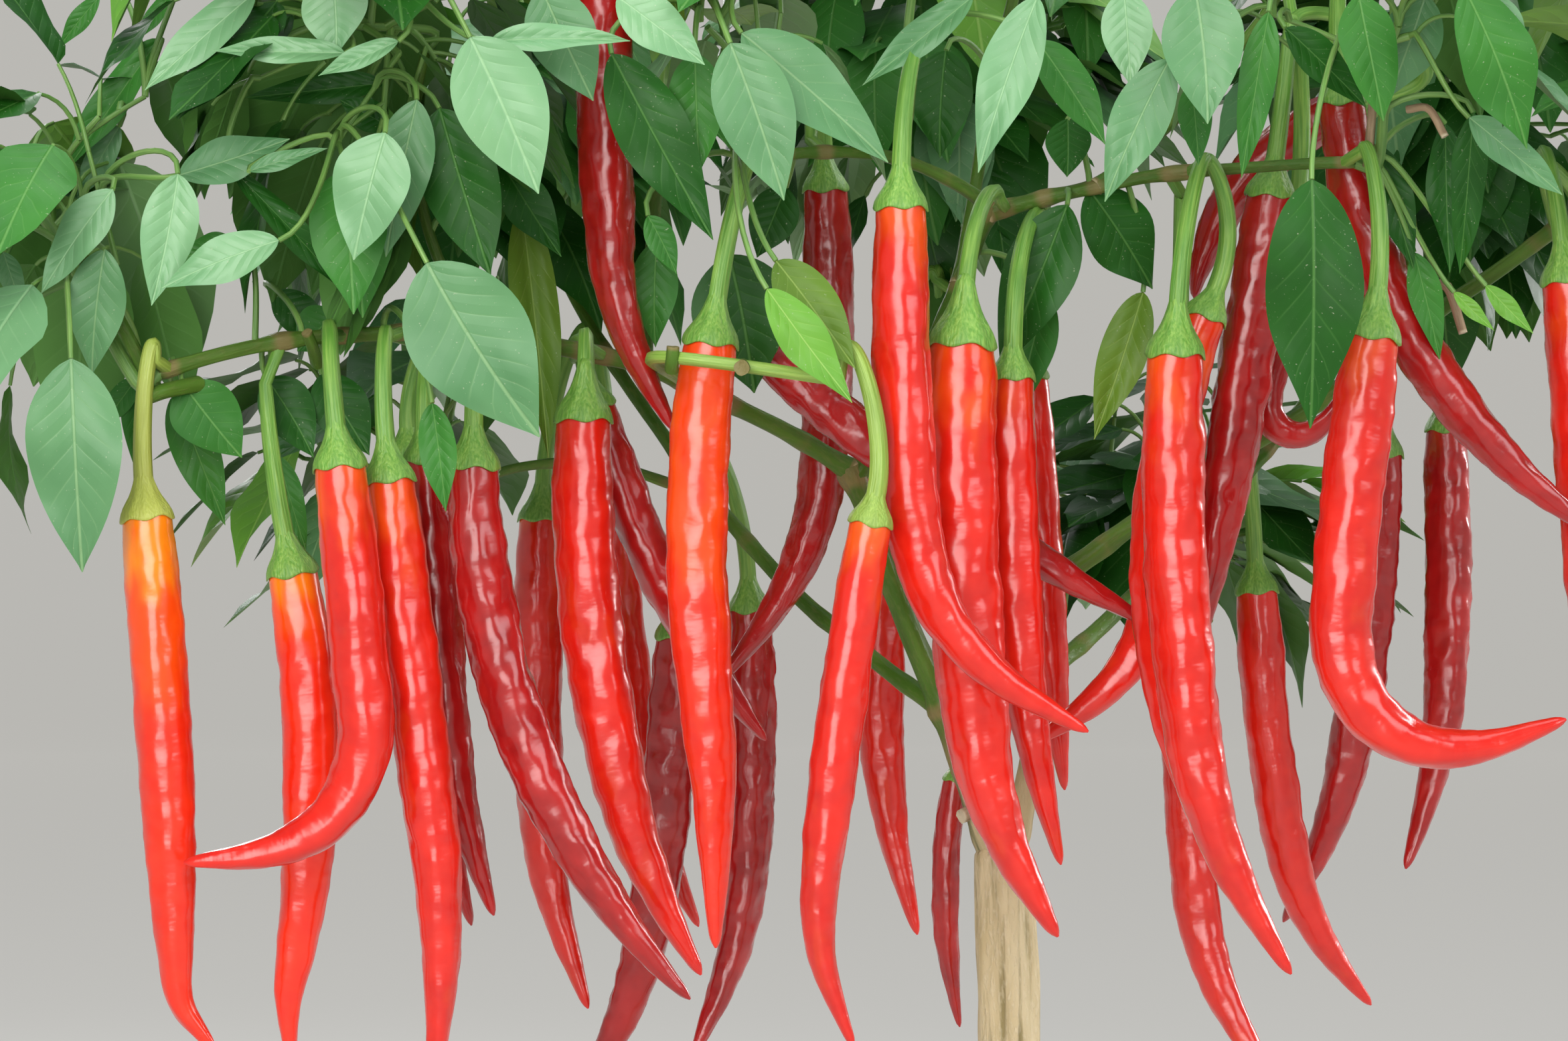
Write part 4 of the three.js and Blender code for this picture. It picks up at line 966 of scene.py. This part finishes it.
# The flesh, with its top tucked into the calyx and its tip closed to a small nib
def addFlesh(paths, fruit, flesh, start, unripe):
    share = np.linspace(0, 1, len(flesh))
    nib = np.clip((share - fruitForm["nibFrom"]) / fruitForm["nibLength"], 0, fruitForm["nibClosed"])
    radii = fleshRadius(fruit["width"], share) * np.sqrt(1 - nib ** 2)
    tuck = np.array(fruitForm["tuck"])
    points = np.concatenate([flesh[0] - tuck[:, None] * start, flesh])
    radii = np.concatenate([radii[0] * np.array(fruitForm["tuckRadii"]), radii])
    share = np.concatenate([[0, 0, 0], share])
    level, end = unripe
    calm = 1 - smooth(0, fruitForm["calm"], lengthsAlong(points) - tuck[0])
    addPath(paths, points, radii, level * (1 - np.clip(share / end, 0, 1)) ** fruitForm["ripening"], calm)


def backSpurFruits(row):
    point = placeOn(limbLines[row["on"]], row["at"])[0]
    side = np.array(row["side"])
    end = point + np.array([*(side * backFruit["spurShare"]), backFruit["spurRise"]])
    fruits = []
    for i, hand in enumerate((-1, 1)):
        fruits.append({
            "top": [end[0] + side[0] * backFruit["topShare"] + hand * backFruit["apart"],
                    end[1] + side[1] * backFruit["topShare"] + hand * backFruit["deeper"],
                    end[2] - backFruit["drop"] + i * backFruit["higher"]],
            "length": backFruit["length"] - i * backFruit["shorter"], "width": backFruit["width"] - i,
            "lean": backFruit["splay"] * hand, "bend": 2 * row["lean"], "tail": 3 * row["lean"],
            "tailFrom": 0.5, "bearing": hand * backFruit["bearing"], "arch": backFruit["arch"]})
    return {**row, "spur": [end], "fruits": fruits}


# A turn that takes a form's +Y to a direction and its +Z to the side that faces up
def turnTo(direction, upward):
    right = unit(np.cross(direction, upward))
    above = np.cross(right, direction)
    return tuple(Matrix((right, direction, above)).transposed().to_euler())


# Calyx: a ribbed cup with five blunt teeth, in shoulder radii, that runs along +Y from the stalk
calyxCup = {
    "sides": 40, "teeth": 5, "toothDrop": 0.09, "unevenDrop": 0.05, "ribDepth": 0.035, "rim": (-0.3, 0.36),
    "patternSize": 0.0075, "turned": 1.3,
    "profile": [(0.05, -2.1), (0.18, -2.06), (0.30, -1.82), (0.38, -1.5), (0.46, -1.22), (0.56, -0.95),
                (0.68, -0.70), (0.82, -0.48), (0.96, -0.25), (1.06, -0.04), (1.11, 0.14), (1.13, 0.25),
                (1.08, 0.27), (1.01, 0.14), (0.88, -0.1), (0.3, -0.2), (0.02, -0.2)],
}


def calyxForm(number):
    phase = calyxCup["turned"] * number
    sides, teeth = calyxCup["sides"], calyxCup["teeth"]
    verts = []
    for radius, along in calyxCup["profile"]:
        rim = smooth(*calyxCup["rim"], along)
        for j in range(sides):
            angle = 2 * math.pi * j / sides
            around = radius * (1 + calyxCup["ribDepth"] * math.cos(2 * teeth * angle + phase) * (1 - rim))
            drop = calyxCup["toothDrop"] * rim * math.cos(teeth * angle + phase)
            drop += calyxCup["unevenDrop"] * rim * math.sin(2 * angle + 3 * phase)
            verts.append((around * math.cos(angle), along + drop, around * math.sin(angle)))
    skin = np.array(verts, np.float32)[:, [0, 2, 1]] * calyxCup["patternSize"]
    faces = gridFaces(len(calyxCup["profile"]), sides, closed=True)
    return newMesh(f"calyxForm{number}", verts, faces=faces, skin=skin)


fruitPaths = {tone: newPaths() for tone in fruitKinds}
stalkPaths = newPaths()
calyces, fruitMarks = [], []
for number, row in enumerate([*fruitSpurs, *map(backSpurFruits, backSpurs)]):
    corners = [placeOn(limbLines[row["on"]], row["at"])[0], *row["spur"]]
    spurEnd = np.array(corners[-1], float)
    yellowed = yellowStalks.get(row["name"], 0)
    for i, fruit in enumerate(row["fruits"]):
        flesh, stalk, start = fruitCourse(fruit, spurEnd)
        radii = plant["pedicelRadius"] * tapered(plant["pedicelSwell"], len(stalk))
        if i == 0:
            spur = roundedLine(corners, plant["step"])[:-1]
            stalk = np.concatenate([spur, stalk])
            radii = np.concatenate([np.full(len(spur), plant["spurRadius"]), radii])
        addPath(stalkPaths, stalk, radii, tone=yellowed * np.linspace(0.5, 1, len(stalk)))
        unripe = unripeShoulders.get(row["name"], ripeShoulder)
        addFlesh(fruitPaths[skinOf(row["name"])], fruit, flesh, start, unripe)
        calyces.append({
            "root": np.array(fruit["top"], float), "turn": turnTo(start, (0.2, 1, 0.1 * number)),
            "size": fleshRadius(fruit["width"], 0) * millimetre, "form": (number + i) % 3, "tone": yellowed})
        fleshRadii = fleshRadius(fruit["width"], np.linspace(0, 1, len(flesh)))
        marked = slice(None, None, fruitForm["markEvery"])
        fruitMarks += [(*point, radius) for point, radius in zip(flesh[marked], fleshRadii[marked])]
        fruitMarks += [(*point, fruitForm["stalkMark"]) for point in stalk[marked]]
fruitPieces = {}
for tone, (pieceName, _, ownSkin) in fruitKinds.items():
    fruitPieces[tone] = pathPiece(pieceName, fruitPaths[tone], tone, {**fruitSkin, **ownSkin})
stalks = pathPiece("fruitStalks", stalkPaths, "stalkGreen", stalkSkin)
cups = formCollection("calyxForms", [calyxForm(number) for number in range(3)])
calyxCups = sprayPiece("calyxCups", calyces, "stalkGreen", cups)
print("fruits made:", len(calyces))


# Leaves

leafShape = {
    "rows": [0, 0.05, 0.12, 0.21, 0.31, 0.41, 0.52, 0.63, 0.74, 0.84, 0.93, 1.0], "columns": 4,
    "slenderness": 0.52, "root": 0.72, "tip": 1.15, "least": 0.012, "flattened": 0.2,
    "shorter": 0.12, "curlShare": 0.6, "curlCurve": 1.9, "waves": 9, "waveLag": 1.3,
}
# How far the tip of each form curls down, the fold along its midrib, its edge waves and its sideways sweep
leafForms = labelled("curl fold wave sweep phase", [
    (0.16, 0.34, 0.030, 0.02, 0.3),
    (0.30, 0.22, 0.045, -0.06, 1.9),
    (0.06, 0.46, 0.025, 0.05, 3.2),
    (0.42, 0.14, 0.055, 0.0, 4.4),
    (-0.08, 0.28, 0.050, -0.03, 5.3),
    (0.22, 0.55, 0.035, 0.07, 0.9),
])
sprayRule = {
    "nodes": (0.2, 0.32, 0.44, 0.56, 0.68, 0.8, 0.9), "sideTwigs": (0.3, 0.45, 0.6, 0.75, 0.9),
    "sideTwigLength": (18, 38), "leafLength": (46, 88), "petiole": (12, 28), "petioleRadius": (0.85, 0.6),
    "twigRadius": (1.25, 0.8), "sideTwigRadius": (0.9, 0.7), "droop": (0.35, 1.35), "clear": 1.5, "apart": 7,
    "attempts": 12, "seed": 5077, "screen": 0.85, "fruitMargin": 6,
    "around": 0.75, "outward": 0.9, "onward": 0.35, "petioleRise": 0.35, "petioleWay": 1.6,
    "bladeHalf": 0.2, "bladeMiddle": 0.4, "bladeOuter": 0.75, "endLeaf": 0.9, "sideLeaf": 0.85,
    "sideWay": 0.9, "sideSag": 2, "twigBow": 0.12,
}
# Each tint of leaf, up to which share of the twigs; the pale and blue tints hold painted sky sheen in their
# base colours
# The deep tint is partly painted shade
tintShares = (("leafDeep", 0.34), ("leafMiddle", 0.68), ("leafBlue", 0.87), ("leafPale", 0.94),
              ("leafOlive", 0.985), ("leafYoung", 1.0))
twigSkin = {
    "Sides": 8, "Ribs": 4.0, "Rib Depth": 0.05, "Swell Depth": 0.12, "Swell Around": 0.5, "Swell Along": 90.0}
petioleSkin = {"Sides": 5, "Swell Depth": 0.0}

# The nearest leaves, read off the photograph in its own pixels: where each springs from its stalk,
# its tip and its width, and how many millimetres it hangs in front of the trunk
nearLeaves = {
    # Pale tint: near leaves facing the light, with painted sky sheen in their colour
    "leafPale": [
        (385, -12, 212, 134, 72, 122), (520, 80, 312, 74, 44, 132), (600, 62, 475, 116, 36, 140),
        (500, -40, 517, 82, 105, 130), (268, 262, 240, 465, 85, 126), (170, 285, 46, 440, 72, 116),
        (420, 362, 230, 420, 72, 132), (580, 200, 521, 393, 120, 138), (708, 56, 825, 287, 143, 146),
        (739, 62, 952, 47, 45, 142), (930, -5, 1066, 93, 80, 136), (1563, -5, 1456, 255, 88, 142),
        (1693, -13, 1706, 129, 78, 124)],
    # Blue tint: near leaves with painted sky sheen in their colour
    "leafBlue": [
        (1100, 65, 1193, 299, 122, 136), (1800, -18, 1838, 183, 125, 140), (2244, -8, 2282, 139, 80, 130),
        (628, 150, 574, 397, 90, 122), (270, 264, 440, 215, 72, 112), (375, 258, 493, 218, 30, 116),
        (158, 375, 122, 572, 88, 112), (180, 190, 112, 305, 45, 60), (107, 540, 118, 875, 145, 126),
        (643, 396, 793, 678, 185, 142), (815, -19, 894, 160, 105, 132), (1117, 50, 1350, 237, 115, 122),
        (1465, -5, 1300, 129, 55, 104), (1762, 89, 1650, 298, 88, 136), (5, 380, 33, 470, 38, 92),
        (2147, -8, 2097, 158, 95, 96), (2213, 177, 2362, 295, 62, 112)],
    "leafMiddle": [
        (241, 58, 85, 270, 60, 66), (150, -5, 78, 73, 32, 50), (258, -10, 205, 64, 30, 50),
        (350, 360, 258, 395, 46, 84), (275, 577, 359, 696, 105, 86), (262, 594, 342, 795, 72, 66),
        (506, 470, 447, 532, 78, 44), (651, 607, 676, 773, 58, 128), (200, 560, 215, 720, 46, 56),
        (206, 569, 150, 650, 40, 60), (419, 687, 459, 835, 44, 60), (1047, 79, 1049, 262, 84, 116),
        (976, 325, 1026, 411, 45, 100), (1563, 62, 1673, 214, 74, 98), (1911, 18, 1867, 272, 58, 128),
        (1795, 125, 1809, 250, 52, 110), (2046, -8, 2086, 186, 95, 128),
        (2130, 380, 2175, 545, 52, 44), (1575, 440, 1530, 640, 72, 30), (990, 364, 975, 526, 72, 70),
        (2206, -17, 2333, 226, 130, 142)],
    # Deep tint: near leaves in shadow, their darkness partly painted shade
    "leafDeep": [
        (580, 125, 366, 150, 52, 76), (350, 256, 548, 447, 44, 104), (412, 440, 505, 520, 62, 40),
        (585, 190, 510, 150, 52, 80), (401, 570, 484, 681, 84, 70), (484, 563, 552, 690, 86, 66),
        (921, 81, 1068, 368, 110, 122), (662, 163, 735, 421, 125, 112), (758, 249, 842, 392, 72, 74),
        (1184, 282, 1140, 390, 78, 56), (1098, 383, 1150, 590, 150, 66), (1425, 76, 1402, 237, 96, 48),
        (1640, 286, 1755, 435, 115, 46), (1608, 308, 1514, 560, 112, 56), (1608, 179, 1612, 268, 72, 64),
        (1936, 42, 2067, 160, 62, 116), (2177, 186, 2177, 414, 64, 62), (2076, 219, 2126, 409, 62, 50),
        (1976, 270, 1991, 658, 150, 142), (2219, 169, 2202, 422, 58, 82)],
    "leafOlive": [
        (785, 310, 835, 690, 75, 58), (1169, 393, 1296, 550, 86, 118), (1722, 440, 1655, 665, 74, 36)],
    "leafYoung": [
        (1155, 435, 1279, 612, 74, 142), (2190, 440, 2250, 500, 24, 60), (2238, 430, 2308, 505, 32, 60)],
}
nearRule = {
    "seed": 8117, "step": 3, "steps": 14, "tilt": (-0.12, 0.2), "roll": 0.5, "droop": 0.3, "thickness": 0.8,
    "stalk": (1.1, 0.85), "stalkDrop": 0.3, "stalkLead": 0.3, "stalkStep": 4,
}


# A blade from its stalk along +Y, with twice the rows and columns where it is finer
def leafForm(name, form, finer):
    shape = leafShape
    last = len(shape["rows"]) - 1
    rows = np.interp(np.linspace(0, last, last * finer + 1), np.arange(last + 1), shape["rows"])
    acrosses = np.linspace(-1, 1, shape["columns"] * finer + 1)
    peak = shape["root"] / (shape["root"] + shape["tip"])
    full = peak ** shape["root"] * (1 - peak) ** shape["tip"]
    verts, blade = [], []
    for along in rows:
        swell = along ** shape["root"] * (1 - along) ** shape["tip"] / full
        half = max(swell, shape["least"]) * shape["slenderness"] / 2
        for across in acrosses:
            aside = across * half
            turn = shape["waves"] * along + form["phase"] + shape["waveLag"] * across
            wave = form["wave"] * math.sin(turn) * abs(across) * math.sin(math.pi * along)
            lift = form["fold"] * abs(aside) - 0.5 * form["fold"] * aside ** 2 / shape["flattened"] + wave
            y = along * (1 - shape["shorter"] * abs(form["curl"]) * along)
            z = lift - form["curl"] * along ** shape["curlCurve"] * shape["curlShare"]
            verts.append((aside + form["sweep"] * along ** 2, y, z))
            blade.append((across, along, aside))
    # A form's upper side faces +Z, so its faces turn the other way
    faces = [face[:1] + face[:0:-1] for face in gridFaces(len(rows), len(acrosses))]
    return newMesh(name, verts, faces=faces, blade=blade)


def insideReach(mass, points):
    offset = (points - mass["heart"]) / mass["reach"]
    return np.all(np.linalg.norm(offset, axis=1) < plant["reachAllowed"])


def clearOfFruit(points):
    gaps = np.linalg.norm(points[:, None, :] - fruitPlaces[None], axis=2) - fruitRadii[None]
    return gaps.min() > sprayRule["clear"]


# Whether a leaf would hang in front of a fruit or of one of the nearest leaves
def screens(points):
    places = pixelsOf(points)[:, None, :]
    nearer = points[:, 1][:, None]
    gaps = np.linalg.norm(places - fruitPixels[None], axis=2) - fruitPixelRadii[None]
    if np.any((gaps < sprayRule["fruitMargin"]) & (nearer < fruitPlaces[None, :, 1])):
        return True
    offset = places - nearOutlines["middle"][None]
    along = np.sum(offset * nearOutlines["way"][None], axis=2) / nearOutlines["half"][None, :, 0]
    aside = np.cross(offset, nearOutlines["way"][None]) / nearOutlines["half"][None, :, 1]
    inside = along ** 2 + aside ** 2 < sprayRule["screen"]
    return np.any(inside & (nearer < nearOutlines["depth"][None]))


# Each of the nearest leaves comes forward in small steps until it is clear of the fruits
def placeNearLeaf(tint, row, draw):
    across, down, tipAcross, tipDown, width, forward = row
    form = int(draw() * len(leafForms))
    tilt, roll = blend(*nearRule["tilt"], draw()), (draw() - 0.5) * nearRule["roll"]
    for step in range(nearRule["steps"]):
        near = forward + nearRule["step"] * step
        root = seenAt(across, down, near)
        span = np.linalg.norm(seenAt(tipAcross, tipDown, near) - root)
        tip = seenAt(tipAcross, tipDown, near + tilt * span)
        middle = (root + tip) / 2
        half = width * span / math.hypot(tipAcross - across, tipDown - down) / 2
        side = unit(np.cross(tip - root, (0, -1, 0))) * half
        if clearOfFruit(np.array([root, middle, middle + side, middle - side, tip])):
            break
    length = np.linalg.norm(tip - root)
    direction = (tip - root) / length
    broad = 2 * half / leafShape["slenderness"]
    leaves[tint].append({
        "root": root, "turn": turnTo(direction, np.array([roll, -1.0, nearRule["droop"]])),
        "size": np.array([broad, length, nearRule["thickness"] * length]) * millimetre,
        "form": form + len(leafForms)})
    leafMiddles.append(middle)
    nearRoots.append((root, direction))
    nearDraft.append((*row[:5], middle[1]))


# Tries a leaf in several turns about its node: outward, aside and drooping, as in the model
def addLeaf(mass, node, along, draw, tint, size=1.0):
    rule = sprayRule
    outward = unit((node - mass["heart"]) / mass["reach"] + 1e-6)
    upward = np.array([outward[0] * 0.5, outward[1] * 0.5, 1.0])
    length = blend(*rule["leafLength"], draw()) * size
    swing, droop = draw() * 2 * math.pi, blend(*rule["droop"], draw())
    petiole = blend(*rule["petiole"], draw())
    form = int(draw() * len(leafForms))
    for attempt in range(rule["attempts"]):
        around = swing + attempt * plant["spiralTurn"]
        direction = rule["around"] * np.array([math.cos(around), math.sin(around), 0.1])
        direction = direction + rule["outward"] * outward + rule["onward"] * along
        stalkWay = unit(direction + np.array([0, 0, rule["petioleRise"]]))
        direction = unit(direction - np.array([0, 0, droop]))
        root = node + petiole * unit(stalkWay * rule["petioleWay"] + direction)
        side = unit(np.cross(direction, upward)) * rule["bladeHalf"] * length
        middle, outer = [root + direction * length * rule[place] for place in ("bladeMiddle", "bladeOuter")]
        blade = np.array([root, middle, middle + side, middle - side, outer, root + direction * length])
        if not insideReach(mass, blade) or not clearOfFruit(blade) or screens(blade):
            continue
        if leafMiddles and np.min(np.linalg.norm(np.array(leafMiddles) - middle, axis=1)) < rule["apart"]:
            continue
        leafMiddles.append(middle)
        stalk = bezier([node, node + stalkWay * petiole * 0.6, root], 7)
        addPath(petiolePaths, stalk, tapered(rule["petioleRadius"], len(stalk)))
        leaves[tint].append({
            "root": root, "turn": turnTo(direction, upward), "size": length * millimetre, "form": form})
        return True
    return False


# Ends of twigs stand evenly over a mass on a spiral, and grow from the nearest to the farthest
def twigEnds(mass, draw, tip):
    ends = []
    for k in range(mass["twigs"]):
        height = 1 - 2 * (k + 0.5) / mass["twigs"]
        around = k * plant["spiralTurn"] + draw() * plant["twigJitter"]
        ring = math.sqrt(1 - height * height)
        share = blend(*plant["twigReach"], draw())
        offset = np.array([ring * math.cos(around), ring * math.sin(around), height])
        ends.append(mass["heart"] + offset * mass["reach"] * share)
    return sorted(ends, key=lambda end: np.linalg.norm(end - tip))


# Leaves at the nodes of a twig, on its side twigs and at its end; a twig ends at its last leaf
def growTwig(mass, start, end, pick):
    rule = sprayRule
    lift = np.array([0, 0, rule["twigBow"] * np.linalg.norm(end - start)])
    twig = evenly(bezier([start, (start + end) / 2 + lift, end], 12), 5)
    chance = pick()
    tint = next(name for name, upTo in tintShares if chance <= upTo)
    leafy = 0
    for at in rule["nodes"]:
        node, along = placeOn(twig, at)
        if addLeaf(mass, node, along, pick, tint):
            leafy = at
    for at in rule["sideTwigs"]:
        node, along = placeOn(twig, at)
        swing = pick() * 2 * math.pi
        way = unit(along + rule["sideWay"] * np.array([math.cos(swing), math.sin(swing), 0.35]))
        shoot = way * blend(*rule["sideTwigLength"], pick())
        sideTwig = bezier([node, node + shoot * 0.5, node + shoot - np.array([0, 0, rule["sideSag"]])], 6)
        if not insideReach(mass, sideTwig) or not clearOfFruit(sideTwig):
            continue
        if any([addLeaf(mass, sideTwig[-1], way, pick, tint, rule["sideLeaf"]) for _ in range(3)]):
            leafy = max(leafy, at)
            addPath(twigPaths, sideTwig, tapered(rule["sideTwigRadius"], len(sideTwig)))
    for _ in range(2):
        if addLeaf(mass, end, unit(end - start), pick, tint, rule["endLeaf"]):
            leafy = 1
    if leafy > 0:
        shares = np.linspace(0, 1, len(twig))
        kept = max(2, int(np.sum(shares <= leafy + 0.02)))
        addPath(twigPaths, twig[:kept], blend(*rule["twigRadius"], shares[:kept]))


def growMass(mass):
    draw = seededDraws(mass["seed"])
    pick = seededDraws(mass["seed"] + sprayRule["seed"])
    tip, heading = placeOn(limbLines[mass["on"]], 1)
    beyond = blend(mass["heart"], tip, -plant["stemBeyond"])
    stem = roundedLine([tip, tip + heading * plant["collar"], mass["heart"], beyond], plant["step"])
    taper = np.interp(np.linspace(0, 1, len(stem)), [0, 0.1, 0.7, 1], plant["stemTaper"])
    addPath(twigPaths, stem, taper * limbEnds[mass["on"]])
    for i, end in enumerate(twigEnds(mass, draw, tip)):
        knot = blend(*plant["knotRange"], (i + 0.5) / mass["twigs"])
        growTwig(mass, placeOn(stem, knot)[0], end, pick)


marks = np.array(fruitMarks)
fruitPlaces, fruitRadii = marks[:, :3], marks[:, 3]
fruitPixels, fruitPixelRadii = pixelsOf(fruitPlaces), fruitRadii / pixelSize(fruitPlaces[:, 1])
twigPaths, petiolePaths = newPaths(), newPaths()
leaves = {row["name"]: [] for row in leafColours}
leafMiddles, nearRoots, nearDraft = [], [], []
draw = seededDraws(nearRule["seed"])
for tint, rows in nearLeaves.items():
    for row in rows:
        placeNearLeaf(tint, row, draw)

# The outlines of the nearest leaves in the picture, as ellipses
outlines = np.array(nearDraft, float)
spans = outlines[:, 2:4] - outlines[:, :2]
lengths = np.linalg.norm(spans, axis=1)
nearOutlines = {
    "middle": (outlines[:, :2] + outlines[:, 2:4]) / 2, "way": spans / lengths[:, None],
    "half": np.stack([lengths / 2, outlines[:, 4] / 2], axis=1), "depth": outlines[:, 5],
}
for mass in masses:
    growMass(mass)

# Each stalk of a near leaf runs to the closest point of a limb or twig
supports = np.concatenate([*limbLines.values(), np.array(twigPaths["points"]) / millimetre])
for root, direction in nearRoots:
    support = supports[np.argmin(np.linalg.norm(supports - root, axis=1))]
    gap = np.linalg.norm(root - support)
    above = np.array([0, 0, nearRule["stalkDrop"] * gap])
    course = [support, support + above, root - direction * nearRule["stalkLead"] * gap, root]
    stalk = evenly(bezier(course, 14), nearRule["stalkStep"])
    addPath(petiolePaths, stalk, tapered(nearRule["stalk"], len(stalk)))
print("leaves:", {name: len(group) for name, group in leaves.items()})
twigs = pathPiece("twigs", twigPaths, "twigGreen", twigSkin)
petioles = pathPiece("petioles", petiolePaths, "twigGreen", petioleSkin)
blades = formCollection("leafForms", [
    leafForm(f"leafForm{finer}{i}", form, finer) for finer in (1, 2) for i, form in enumerate(leafForms)])
leafPieces = [sprayPiece(name, group, name, blades) for name, group in leaves.items()]


# What each piece stands for

pieces = [
    (trunk, "bark", ["trunk"]),
    (boughs, "green_wood", [limb["name"] for limb in limbs]),
    (twigs, "green_wood", [mass["name"] for mass in masses]),
    (dryStalks, "bark", []), (petioles, "green_wood", []), (stalks, "green_wood", []),
    (calyxCups, "green_wood", []),
]
for tone, (_, slot, _) in fruitKinds.items():
    nodes = [spur["name"] for spur in [*fruitSpurs, *backSpurs] if skinOf(spur["name"]) == tone]
    pieces.append((fruitPieces[tone], slot, nodes))
pieces += [(piece, "leaf", []) for piece in leafPieces]
for piece, slot, nodes in pieces:
    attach(piece, "root")
    if nodes:
        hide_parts(*nodes)

print("pieces placed:", len(pieces))
